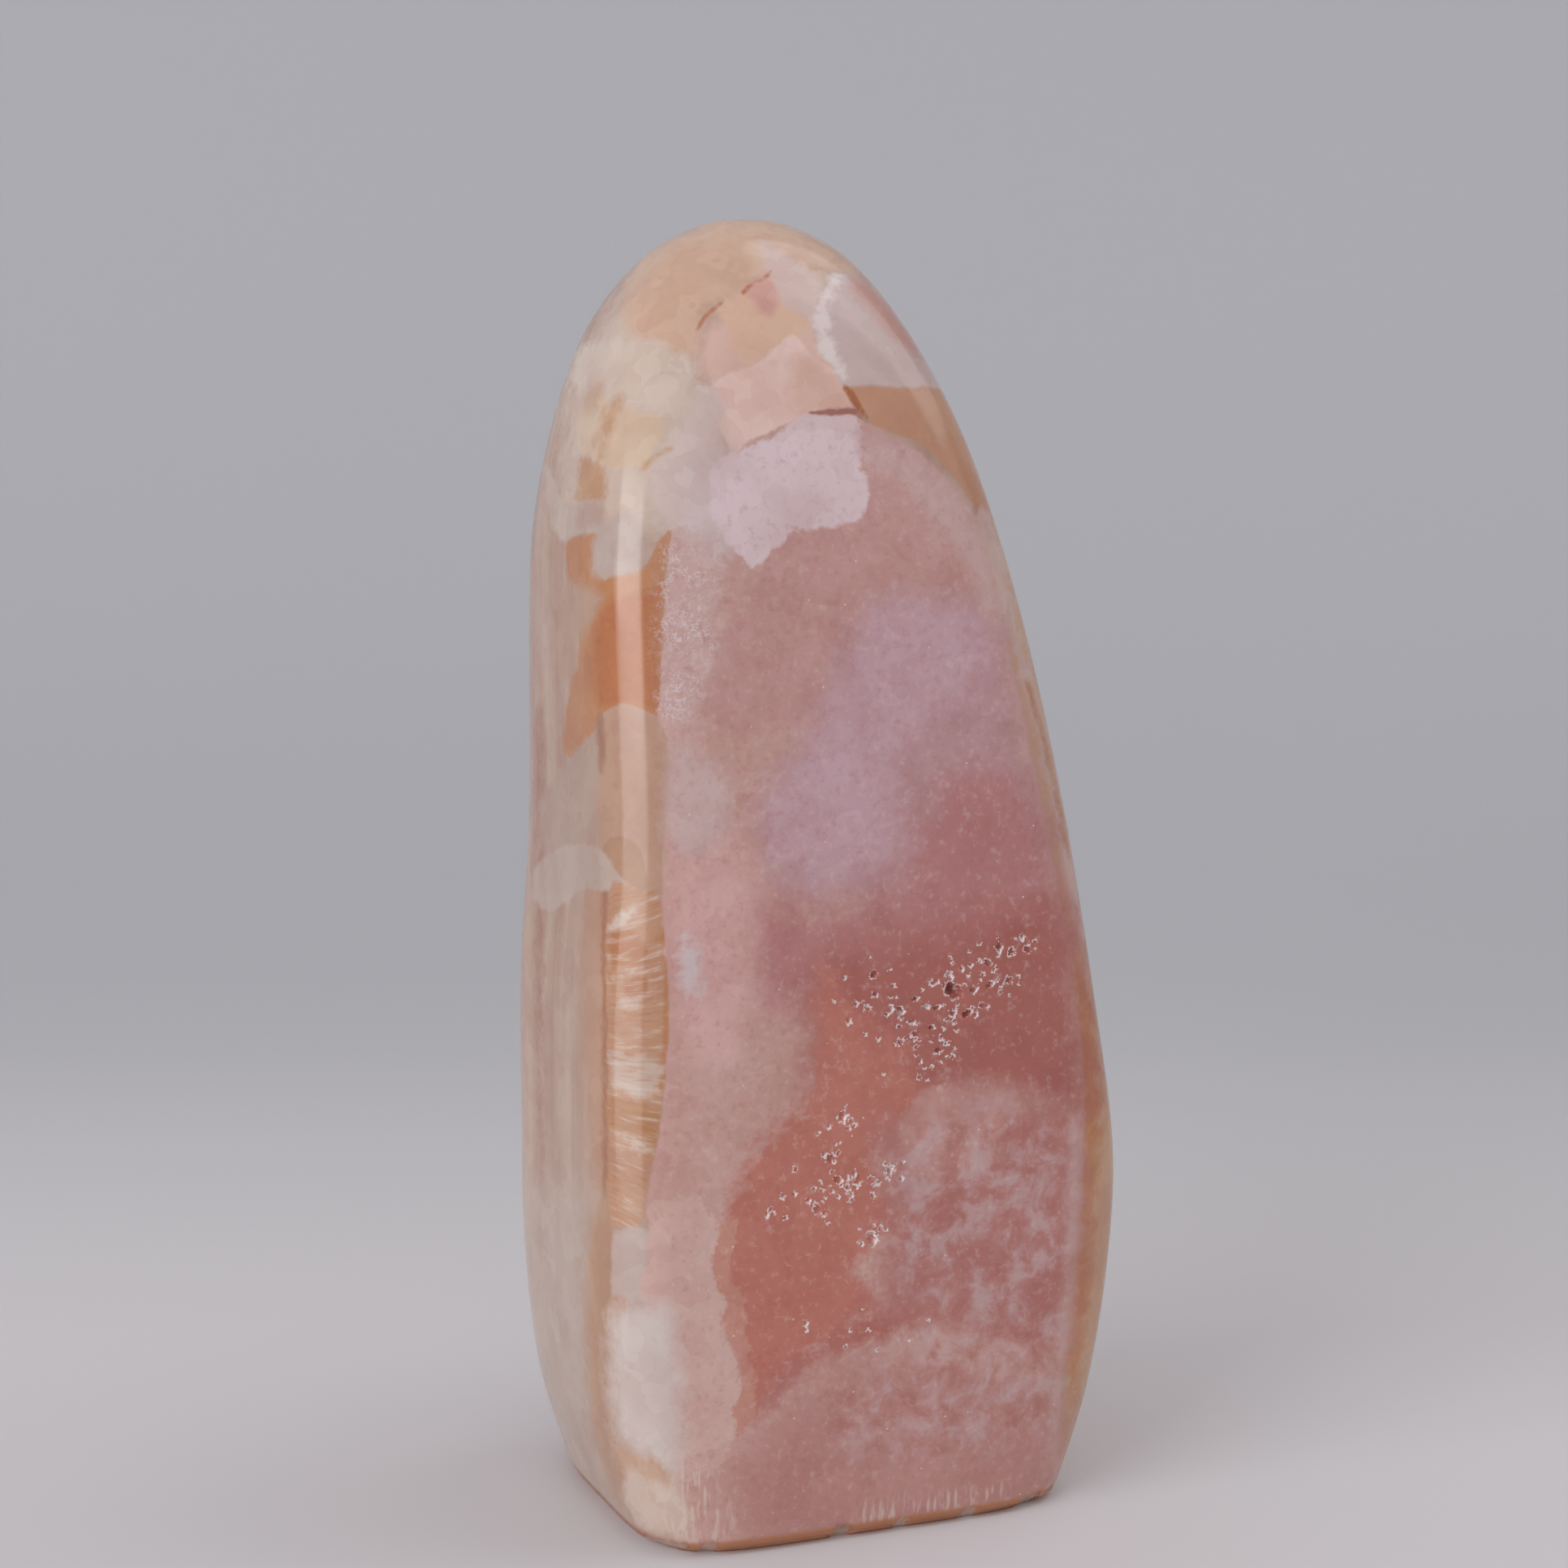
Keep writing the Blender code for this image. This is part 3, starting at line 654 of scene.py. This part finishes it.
HIDDEN_BANDS = (
    (0.16, "#B98766"), (0.28, "#C29878"), (0.34, "#B57F5C"), (0.41, "#C09A80"), (0.47, "#CAAC98"),
    (0.51, "#BE937B"), (0.56, "#C5A08E"), (0.61, "#C59B91"), (0.67, "#CFB4A7"), (0.74, "#C2A190"))
MILK, CREAM = "#CDB5A6", "#D0B7AC"
SIDE_DARK, SIDE_LIGHT = "#B9947F", "#C8AC99"
FIBRE_AMBER, FIBRE_WHITE = "#B07242", "#E2CFC2"
TUFT_ROSE, TUFT_WHITE = "#B0695F", "#CDB1B0"
FROST, SPARKLE = "#E2D3D2", "#E3D1CE"
MOTTLE_LIGHT, MOTTLE_DARK = "#E6CFC8", "#A8675A"
BRUISE_WHITE, SCRATCH_WHITE, BEVEL_GLOW_AND_SHADE, CHIP_WHITE = "#E0CCC6", "#E3CFC2", "#C8855A", "#EADBD4"
# painted light in the pits: a glint on each white rim, and shade in each deep heart
PIT_WHITE_AND_GLINT, PIT_SHADE = "#F3EBEB", "#6A382F"
MIX, MATH, RANGE = "ShaderNodeMix", "ShaderNodeMath", "ShaderNodeMapRange"
NOISE, CELLS, STORED = "ShaderNodeTexNoise", "ShaderNodeTexVoronoi", "ShaderNodeAttribute"
TIMES = {"operation": "MULTIPLY"}
TIMES_PLUS = {"operation": "MULTIPLY_ADD"}
TIMES_PLUS_CLAMPED = {"operation": "MULTIPLY_ADD", "use_clamp": True}
LARGER = {"operation": "MAXIMUM"}
SMOOTH = {"interpolation_type": "SMOOTHSTEP"}
COLOURS = {"data_type": "RGBA"}
TINTS = {"data_type": "RGBA", "blend_type": "MULTIPLY"}


def bent(tree, place, width, push):
    """Places pushed about by noise, so that a regular pattern grows unevenly."""
    drift = add(tree, NOISE, out="Color", Vector=place, Scale=1 / width, Detail=0.0)
    return add(tree, "ShaderNodeVectorMath", TIMES_PLUS, i0=drift, i1=(push, push, push), i2=place)


def crystals(tree, place, width):
    """A random value for each interlocking crystal of about this width."""
    uneven = bent(tree, place, width * 0.6, width * 0.9)
    cell = add(tree, CELLS, out="Color", Vector=uneven, Scale=1 / width)
    return add(tree, "ShaderNodeSeparateColor", i0=cell)


def hidden_bands(tree, place):
    """The unseen sides' colours: honey, peach, rose and cream bands up the stone, with pale planes across them."""
    uneven = bent(tree, place, BAND_BEND, BAND_PUSH)
    wavy = add(tree, "ShaderNodeMapping", Vector=uneven, Scale=(1, 0.6, STREAK_STRETCH))
    band = add(tree, NOISE, Vector=wavy, Scale=1 / BAND, Detail=3.0, Roughness=0.52)
    along = add(tree, "ShaderNodeSeparateXYZ", out="X", Vector=place)
    leaning = add(tree, MATH, TIMES_PLUS, i0=along, i1=HONEY_LEAN, i2=band)
    banded = add(tree, "ShaderNodeValToRGB", Fac=leaning)
    ramp = banded.node.color_ramp
    ramp.interpolation = "EASE"
    ramp.elements.remove(ramp.elements[1])
    ramp.elements[0].position = HIDDEN_BANDS[0][0]
    ramp.elements[0].color = colour(HIDDEN_BANDS[0][1])
    for position, hex_value in HIDDEN_BANDS[1:]:
        ramp.elements.new(position).color = colour(hex_value)
    tilted = add(tree, "ShaderNodeMapping", Vector=place, Rotation=PLANE_TURN, Scale=(1, 1, 0.7))
    plane = crystals(tree, tilted, PLANE)
    pale = add(tree, RANGE, SMOOTH, Value=plane, From_Min=0.72, From_Max=0.76, To_Max=0.35)
    paint = add(tree, MIX, COLOURS, 2, i0=pale, i6=banded, i7=MILK)
    patch = add(tree, NOISE, Vector=place, Scale=1 / MILKY_PATCH, Detail=3.0, Roughness=0.6)
    milky = add(tree, RANGE, SMOOTH, Value=patch, From_Min=0.5, From_Max=0.7, To_Max=0.6)
    return add(tree, MIX, COLOURS, 2, i0=milky, i6=paint, i7=CREAM)


def traced_bands(tree, place):
    """The seen sides' colours: beige streaks, then each marking over the one before, its edge wandering a little."""
    long = add(tree, "ShaderNodeMapping", Vector=place, Scale=(1, 1, STREAK_STRETCH))
    streak = add(tree, NOISE, Vector=long, Scale=1 / STREAK, Detail=2.0)
    light = add(tree, RANGE, SMOOTH, Value=streak, From_Min=0.3, From_Max=0.7)
    paint = add(tree, MIX, COLOURS, 2, i0=light, i6=SIDE_DARK, i7=SIDE_LIGHT)
    bays = add(tree, NOISE, Vector=place, Scale=1 / BAY, Detail=2.0)
    scallops = add(tree, NOISE, Vector=place, Scale=1 / SCALLOP, Detail=2.0)
    middle = -(BAY_PUSH + SCALLOP_PUSH) / 2
    wander = add(tree, MATH, TIMES_PLUS, i0=scallops, i1=SCALLOP_PUSH, i2=middle)
    wander = add(tree, MATH, TIMES_PLUS, i0=bays, i1=BAY_PUSH, i2=wander)
    markings = list(MARKINGS.values())
    for first in range(0, len(markings), PACK):
        packed = add(tree, STORED, {"attribute_name": f"markings_{first}"}, "Vector")
        insides = add(tree, "ShaderNodeSeparateXYZ", Vector=packed).node.outputs
        for inside, (hue, softness, stray, _) in zip(insides, markings[first : first + PACK]):
            drift = stray / (EDGE_RUN * softness)
            share = add(tree, MATH, TIMES_PLUS_CLAMPED, i0=wander, i1=drift, i2=inside)
            paint = add(tree, MIX, COLOURS, 2, i0=share, i6=paint, i7=hue)
    billow = add(tree, NOISE, Vector=place, Scale=1 / CLOUD, Detail=2.0, Roughness=0.55)
    cloud = add(tree, RANGE, SMOOTH, Value=billow, From_Min=0.35, From_Max=0.65, To_Max=0.5)
    tone = add(tree, MATH, TIMES_PLUS, i0=crystals(tree, place, CRYSTAL), i1=0.5, i2=cloud)
    shade = add(tree, MIX, COLOURS, 2, i0=tone, i6=SHADE, i7="#FFFFFF")
    return add(tree, MIX, TINTS, 2, i0=1.0, i6=paint, i7=shade)


# Each layer below gives its coats in turn, as the share that covers and the colour that it lays over.
def fibres(tree, place):
    """White and amber fibres across the rounded left edge, fanning out from a point inside the stone."""
    where = add(tree, STORED, {"attribute_name": "fibrous"}, "Fac")
    spot = add(tree, "ShaderNodeSeparateXYZ", Vector=place).node.outputs
    reach = add(tree, MATH, {"operation": "ADD"}, i0=spot["X"], i1=FAN_REACH - FAN_X)
    above = add(tree, MATH, {"operation": "SUBTRACT"}, i0=spot["Z"], i1=FAN_HEIGHT)
    slope = add(tree, MATH, {"operation": "DIVIDE"}, i0=above, i1=reach)
    turned = add(tree, MATH, TIMES, i0=slope, i1=FAN_REACH * FIBRE_SQUEEZE)
    fan = add(tree, "ShaderNodeCombineXYZ", X=spot["X"], Y=spot["Y"], Z=turned)
    uneven = bent(tree, fan, FIBRE_BEND, FIBRE_PUSH)
    across = add(tree, NOISE, Vector=uneven, Scale=1 / FIBRE, Detail=3.0, Roughness=0.6)
    amber = add(tree, RANGE, SMOOTH, Value=across, From_Min=0.48, From_Max=0.3, To_Max=0.5)
    white = add(tree, RANGE, SMOOTH, Value=across, From_Min=0.5, From_Max=0.72, To_Max=0.5)
    where = add(tree, RANGE, SMOOTH, Value=where, From_Min=-0.2, From_Max=0.5)
    yield add(tree, MATH, TIMES, i0=where, i1=amber), FIBRE_AMBER
    yield add(tree, MATH, TIMES, i0=where, i1=white), FIBRE_WHITE


def clouds(tree, place):
    """Milky tufts with rosy gaps between them."""
    inside = add(tree, STORED, {"attribute_name": "clouded"}, "Fac")
    where = add(tree, RANGE, SMOOTH, Value=inside, From_Min=-3.0, From_Max=4.0)
    uneven = bent(tree, place, TUFT_BEND, TUFT_PUSH)
    tuft = add(tree, NOISE, Vector=uneven, Scale=1 / TUFT, Detail=4.0, Roughness=0.62)
    rosy = add(tree, RANGE, SMOOTH, Value=tuft, From_Min=0.5, From_Max=0.34, To_Max=0.6)
    milky = add(tree, RANGE, SMOOTH, Value=tuft, From_Min=0.45, From_Max=0.66, To_Max=0.6)
    yield add(tree, MATH, TIMES, i0=where, i1=rosy), TUFT_ROSE
    yield add(tree, MATH, TIMES, i0=where, i1=milky), TUFT_WHITE


def frost(tree, place):
    """A torn web of white seams between sugary grains, close and bright along the frosted margin, and specks."""
    inside = add(tree, STORED, {"attribute_name": "frosted"}, "Fac")
    margin = add(tree, RANGE, SMOOTH, Value=inside, From_Min=-1.5, From_Max=2.5, To_Max=0.85)
    yield add(tree, MATH, TIMES, i0=margin, i1=0.18), FROST
    uneven = bent(tree, place, GRAIN_BEND, GRAIN_PUSH)
    web = add(tree, CELLS, {"feature": "DISTANCE_TO_EDGE"}, Vector=uneven, Scale=1 / GRAIN)
    seams = add(tree, RANGE, SMOOTH, Value=web, From_Max=0.2, To_Min=1.0, To_Max=0.0)
    tears = add(tree, NOISE, Vector=place, Scale=1 / TEAR, Detail=2.0, Roughness=0.6)
    torn = add(tree, RANGE, SMOOTH, Value=tears, From_Min=0.42, From_Max=0.58)
    patches = add(tree, NOISE, Vector=place, Scale=1 / FROST_PATCH, Detail=0.0)
    patchy = add(tree, RANGE, SMOOTH, Value=patches, From_Min=0.4, From_Max=0.6, To_Min=0.4)
    thick = add(tree, MATH, TIMES, i0=margin, i1=patchy)
    ragged = add(tree, MATH, TIMES, i0=seams, i1=torn)
    yield add(tree, MATH, TIMES, i0=ragged, i1=thick), FROST
    inside = add(tree, STORED, {"attribute_name": "grainy"}, "Fac")
    pink = add(tree, RANGE, SMOOTH, Value=inside, From_Max=0.5)
    speck = add(tree, CELLS, Vector=place, Scale=1 / SPECK).node.outputs
    chance = add(tree, "ShaderNodeSeparateColor", i0=speck["Color"])
    dot = add(tree, RANGE, SMOOTH, Value=speck["Distance"], From_Min=0.1, From_Max=0.05)
    chosen = add(tree, RANGE, SMOOTH, Value=chance, From_Min=0.88, From_Max=0.92)
    specks = add(tree, MATH, TIMES, i0=dot, i1=chosen)
    yield add(tree, MATH, TIMES, i0=specks, i1=pink), SPARKLE


def mottling(tree, place):
    """Fine light and dark grains, stronger in the pink than in the honey sides."""
    inside = add(tree, STORED, {"attribute_name": "grainy"}, "Fac")
    strength = add(tree, RANGE, SMOOTH, Value=inside, From_Max=0.6, To_Min=0.25)
    grains = add(tree, NOISE, Vector=place, Scale=1 / MOTTLE, Detail=3.0, Roughness=0.65)
    light = add(tree, RANGE, SMOOTH, Value=grains, From_Min=0.52, From_Max=0.75, To_Max=0.24)
    dark = add(tree, RANGE, SMOOTH, Value=grains, From_Min=0.48, From_Max=0.28, To_Max=0.24)
    yield add(tree, MATH, TIMES, i0=strength, i1=light), MOTTLE_LIGHT
    yield add(tree, MATH, TIMES, i0=strength, i1=dark), MOTTLE_DARK


def wear(tree, place):
    """The base's bruised rim, the scratches above it, painted amber glow and shade on the bevel beneath, and the broken
    chips.
    """
    height = add(tree, "ShaderNodeSeparateXYZ", out="Z", Vector=place)
    bruises = add(tree, NOISE, Vector=place, Scale=1 / BRUISE, Detail=1.0)
    ragged = add(tree, MATH, TIMES_PLUS, i0=bruises, i1=BRUISE_RAGGED, i2=height)
    yield add(tree, RANGE, SMOOTH, Value=ragged, From_Min=RIM_HEIGHT, From_Max=RIM_HEIGHT + RIM_EDGE,
              To_Min=0.4, To_Max=0.0), BRUISE_WHITE
    left = add(tree, STORED, {"attribute_name": "abraded_left"}, "Fac")
    right = add(tree, STORED, {"attribute_name": "abraded_right"}, "Fac")
    inside = add(tree, MATH, LARGER, i0=left, i1=right)
    bays = add(tree, NOISE, Vector=place, Scale=1 / BAY, Detail=1.0)
    uneven = add(tree, MATH, TIMES_PLUS, i0=bays, i1=3.0, i2=inside)
    where = add(tree, RANGE, SMOOTH, Value=uneven, From_Min=0.8, From_Max=2.4)
    long = add(tree, "ShaderNodeMapping", Vector=place, Scale=(1, 1, SCRATCH_STRETCH))
    scratch = add(tree, NOISE, Vector=long, Scale=1 / SCRATCH, Detail=2.0)
    scratched = add(tree, RANGE, SMOOTH, Value=scratch, From_Min=0.46, From_Max=0.66, To_Max=0.55)
    yield add(tree, MATH, TIMES, i0=where, i1=scratched), SCRATCH_WHITE
    # painted glow and shade on the under-bevel
    yield add(tree, RANGE, SMOOTH, Value=height, From_Min=BEVEL_HIGH, From_Max=BEVEL_LOW,
              To_Max=0.9), BEVEL_GLOW_AND_SHADE
    chipped = add(tree, STORED, {"attribute_name": "chipped"}, "Fac")
    yield add(tree, RANGE, SMOOTH, Value=chipped, From_Min=0.3, From_Max=0.9, To_Max=0.6), CHIP_WHITE


def pits(tree, place):
    """White rims round the open pits, bruised stone with a painted glint on the lip, and painted shade in the hearts of
    the deep ones.
    """
    rim = add(tree, STORED, {"attribute_name": "pit_rim"}, "Fac")
    hollow = add(tree, STORED, {"attribute_name": "pit_hollow"}, "Fac")
    # painted glint: the white rim is bruised stone with the glint on the pit's lip painted in
    yield add(tree, RANGE, SMOOTH, Value=rim, From_Min=0.2, From_Max=0.9, To_Max=0.85), PIT_WHITE_AND_GLINT
    # painted shade in the hearts of the deep pits
    yield add(tree, RANGE, SMOOTH, Value=hollow, From_Min=0.55, From_Max=1.0), PIT_SHADE


def polished_aragonite():
    material = bpy.data.materials.new("polished_aragonite")
    material.use_nodes = True
    tree = material.node_tree
    place = add(tree, "ShaderNodeTexCoord", out="Object")
    seen = add(tree, STORED, {"attribute_name": "seen"}, "Fac")
    unseen_paint = hidden_bands(tree, place)
    paint = add(tree, MIX, COLOURS, 2, i0=seen, i6=unseen_paint, i7=traced_bands(tree, place))
    for layer in (fibres, clouds, frost, mottling, wear, pits):
        for share, over in layer(tree, place):
            paint = add(tree, MIX, COLOURS, 2, i0=share, i6=paint, i7=over)
    hollow = add(tree, STORED, {"attribute_name": "pit_hollow"}, "Fac")
    pitted = add(tree, RANGE, SMOOTH, Value=hollow, From_Min=0.1, From_Max=0.5, To_Min=POLISH,
                 To_Max=PIT_ROUGHNESS)
    sawn = add(tree, STORED, {"attribute_name": "sawn"}, "Fac")
    matte = add(tree, MATH, TIMES, i0=sawn, i1=SAWN_ROUGHNESS)
    rough = add(tree, MATH, LARGER, i0=pitted, i1=matte)
    patches = add(tree, NOISE, Vector=place, Scale=1 / POLISH_PATCH, Detail=2.0)
    rough = add(tree, MATH, TIMES_PLUS, i0=patches, i1=UNEVEN_POLISH, i2=rough)
    surface = tree.nodes["Principled BSDF"]
    surface.subsurface_method = "BURLEY"
    tree.links.new(paint, surface.inputs["Base Color"])
    tree.links.new(rough, surface.inputs["Roughness"])
    surface.inputs["IOR"].default_value = STONE_IOR
    surface.inputs["Subsurface Weight"].default_value = GLOW_SHARE
    surface.inputs["Subsurface Radius"].default_value = GLOW_REACH
    surface.inputs["Subsurface Scale"].default_value = GLOW_DEPTH
    return material


stone = make_stone()
stone.data.materials.append(polished_aragonite())
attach(stone, "root")
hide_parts("aragonite_freeform")


# Pit crystals
# Tiny white crystals of the same carbonate, grown on the walls and lips of the open pits, where the polish never
# reached them. One grain repeats at random sizes and turns.
GRAIN_RADIUS = 0.06 * MM
GRAINS_PER_AREA = 30e6  # in a square metre of pit lip
GRAIN_SEED = 4
SMALLEST_GRAIN, LARGEST_GRAIN = (0.5, 0.5, 0.5), (1.5, 1.5, 1.5)  # shares of the grain's radius
NO_TURN, FULL_TURN = (0, 0, 0), (6.28, 6.28, 6.28)
VECTORS = {"data_type": "FLOAT_VECTOR"}
GRAIN_COLOUR = "#F0E6E3"
GRAIN_ROUGHNESS = 0.25


def crystal_nodes():
    """A node group that scatters a grain over the lips of the pits."""
    tree = bpy.data.node_groups.new("pit_crystals", "GeometryNodeTree")
    for name, kind in (("Stone", "NodeSocketGeometry"), ("Density", "NodeSocketFloat"), ("Radius", "NodeSocketFloat"),
                       ("Seed", "NodeSocketInt"), ("Material", "NodeSocketMaterial")):
        tree.interface.new_socket(name, in_out="INPUT", socket_type=kind)
    tree.interface.new_socket("Crystals", in_out="OUTPUT", socket_type="NodeSocketGeometry")
    given = tree.nodes.new("NodeGroupInput").outputs
    lip = add(tree, "GeometryNodeInputNamedAttribute", out="Attribute", Name="pit_rim")
    density = add(tree, MATH, TIMES, i0=lip, i1=given["Density"])
    points = add(tree, "GeometryNodeDistributePointsOnFaces", out="Points", Mesh=given["Stone"], Density=density,
                 Seed=given["Seed"])
    grain = add(tree, "GeometryNodeMeshIcoSphere", out="Mesh", Radius=given["Radius"], Subdivisions=1)
    size = add(tree, "FunctionNodeRandomValue", VECTORS, "Value", i0=SMALLEST_GRAIN, i1=LARGEST_GRAIN,
               Seed=given["Seed"])
    turn = add(tree, "FunctionNodeRandomValue", VECTORS, "Value", i0=NO_TURN, i1=FULL_TURN, Seed=given["Seed"])
    grains = add(tree, "GeometryNodeInstanceOnPoints", out="Instances", Points=points, Instance=grain, Rotation=turn,
                 Scale=size)
    whole = add(tree, "GeometryNodeRealizeInstances", out="Geometry", Geometry=grains)
    finished = add(tree, "GeometryNodeSetMaterial", out="Geometry", Geometry=whole, Material=given["Material"])
    tree.links.new(finished, tree.nodes.new("NodeGroupOutput").inputs["Crystals"])
    return tree


def calcite():
    """Clear-white calcite grains, glassy on their own faces."""
    material = bpy.data.materials.new("white_calcite_grains")
    material.use_nodes = True
    surface = material.node_tree.nodes["Principled BSDF"]
    surface.inputs["Base Color"].default_value = colour(GRAIN_COLOUR)
    surface.inputs["Roughness"].default_value = GRAIN_ROUGHNESS
    surface.inputs["IOR"].default_value = STONE_IOR
    return material


def grow_crystals():
    source = bpy.data.objects.new("pit_crystals_source", stone.data.copy())
    bpy.context.scene.collection.objects.link(source)
    modifier = source.modifiers.new("crystals", "NODES")
    modifier.node_group = crystal_nodes()
    given = {"Density": GRAINS_PER_AREA, "Radius": GRAIN_RADIUS, "Seed": GRAIN_SEED, "Material": calcite()}
    for socket in modifier.node_group.interface.items_tree:
        if socket.name in given:
            modifier[socket.identifier] = given[socket.name]
    view = bpy.context.evaluated_depsgraph_get()
    mesh = bpy.data.meshes.new_from_object(source.evaluated_get(view), depsgraph=view)
    bpy.data.objects.remove(source)
    piece = bpy.data.objects.new("pit_crystals", mesh)
    bpy.context.scene.collection.objects.link(piece)
    return piece


crystals_piece = grow_crystals()
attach(crystals_piece, "root")


# The studio
# A pale cloth sweeps up behind the stone into a wall, whose grey is painted shade for the light falling off behind the
# stone; a tall window-like light stands to the left.
SWEEP_NEAR = -3.0
SWEEP_FAR = 0.55
SWEEP_CURVE = 0.35
SWEEP_TOP = 1.3
SWEEP_HALF_WIDTH = 3.0
WINDOW_TURN = math.radians(68)  # from straight in front, towards the left
WINDOW_AWAY = 1.6
WINDOW_SIZE = (1.32, 1.42)
WINDOW_HEIGHT = 0.72
WINDOW_POWER = 14.6
PANE_TOP = 0.72  # the part of the window that the polish mirrors; a blind dims the rest
GLINT_AWAY = 0.17  # the card stands close by, seen in the polish alone, and carries the window's glint to the foot
GLINT_SIZE = (0.15, 0.12)
GLINT_HEIGHT = 0.06
GLINT_POWER = 0.09
OVERHEAD_SIZE = 1.1
OVERHEAD_POWER = 3.6
OVERHEAD_PLACE = Vector((0.75, 0.0, 0.95))
ROOM_LIGHT = 0.57
SWEEP_LEVEL = -0.2  # the cloth lies quite flat up to here
CLOTH_FLOOR, CLOTH_WALL_SHADE = "#DFDADB", "#BAB9BC"
CLOTH_SHADE_RUN = 0.32  # distance behind the stone over which painted shade darkens the floor's colour to the wall's grey
CLOTH_ROUGHNESS, CLOTH_SHINE = 0.9, 0.1
WINDOW_COLOUR = "#F6FAFF"
ROOM_COLOUR = "#F2F3F7"
CURVE_STEPS = 12


def make_sweep():
    """Floor and backdrop in one sheet, turned square to the camera."""
    profile = [(SWEEP_NEAR, 0.0), (SWEEP_LEVEL, 0.0), (SWEEP_FAR - SWEEP_CURVE, 0.0)]
    for i in range(1, CURVE_STEPS + 1):
        angle = math.pi / 2 * i / CURVE_STEPS
        profile.append((SWEEP_FAR - SWEEP_CURVE * (1 - math.sin(angle)), SWEEP_CURVE * (1 - math.cos(angle))))
    profile.append((SWEEP_FAR, SWEEP_TOP))
    bm = bmesh.new()
    rows = []
    for forward, up in profile:
        middle = ahead * forward + Vector((0, 0, up))
        rows.append([bm.verts.new(middle + aside * side) for side in (-SWEEP_HALF_WIDTH, SWEEP_HALF_WIDTH)])
    for near, far in zip(rows, rows[1:]):
        bm.faces.new((near[0], near[1], far[1], far[0]))
    mesh = bpy.data.meshes.new("backdrop")
    bm.to_mesh(mesh)
    bm.free()
    mesh.shade_smooth()
    sweep = bpy.data.objects.new("backdrop", mesh)
    bpy.context.scene.collection.objects.link(sweep)
    return sweep


def pale_cloth():
    """Plain pale cloth: matte and nearly white underfoot, darkened to a cool grey behind the stone by painted shade,
    for the light falling off with distance from the window.
    """
    material = bpy.data.materials.new("pale_cloth")
    material.use_nodes = True
    tree = material.node_tree
    surface = tree.nodes["Principled BSDF"]
    place = add(tree, "ShaderNodeTexCoord", out="Object")
    # painted shade: the cloth darkens with distance behind the stone
    away = add(tree, "ShaderNodeVectorMath", {"operation": "DOT_PRODUCT"}, "Value", i0=place, i1=ahead)
    falloff_shade = add(tree, RANGE, SMOOTH, Value=away, From_Max=CLOTH_SHADE_RUN)
    cloth = add(tree, MIX, COLOURS, 2, i0=falloff_shade, i6=CLOTH_FLOOR, i7=CLOTH_WALL_SHADE)
    tree.links.new(cloth, surface.inputs["Base Color"])
    surface.inputs["Roughness"].default_value = CLOTH_ROUGHNESS
    surface.inputs["Specular IOR Level"].default_value = CLOTH_SHINE
    return material


backdrop = make_sweep()
backdrop.data.materials.append(pale_cloth())

STONE_MIDDLE = Vector((0, 0, 0.07))


def hang_lamp(name, size, power, place, towards):
    lamp = bpy.data.lights.new(name, "AREA")
    lamp.shape = "RECTANGLE"
    lamp.size, lamp.size_y = size
    lamp.energy = power
    hung = bpy.data.objects.new(name, lamp)
    hung.location = place
    hung.rotation_euler = (towards - hung.location).to_track_quat("-Z", "Y").to_euler()
    bpy.context.scene.collection.objects.link(hung)
    return hung


def window_side(away, height):
    """A place on the window's side of the stone."""
    return Vector((-away * math.sin(WINDOW_TURN), -away * math.cos(WINDOW_TURN), height))


window = hang_lamp("window", WINDOW_SIZE, WINDOW_POWER, window_side(WINDOW_AWAY, WINDOW_HEIGHT), STONE_MIDDLE)
window.data.color = colour(WINDOW_COLOUR)[:3]
window.visible_glossy = False
pane_power = WINDOW_POWER * PANE_TOP / WINDOW_SIZE[1]
pane = hang_lamp("window_pane", (WINDOW_SIZE[0], PANE_TOP), pane_power, window_side(WINDOW_AWAY, PANE_TOP / 2),
                 Vector((0, 0, PANE_TOP / 2)))
card = hang_lamp("glint_card", GLINT_SIZE, GLINT_POWER, window_side(GLINT_AWAY, GLINT_HEIGHT),
                 Vector((0, 0, GLINT_HEIGHT)))
for mirrored in (pane, card):
    mirrored.visible_diffuse = False
    mirrored.visible_transmission = False
hang_lamp("overhead", (OVERHEAD_SIZE, OVERHEAD_SIZE), OVERHEAD_POWER, OVERHEAD_PLACE, STONE_MIDDLE)

world = bpy.data.worlds.new("room")
world.use_nodes = True
world.node_tree.nodes["Background"].inputs["Color"].default_value = colour(ROOM_COLOUR)
world.node_tree.nodes["Background"].inputs["Strength"].default_value = ROOM_LIGHT
bpy.context.scene.world = world
bpy.context.scene.view_settings.view_transform = "Standard"
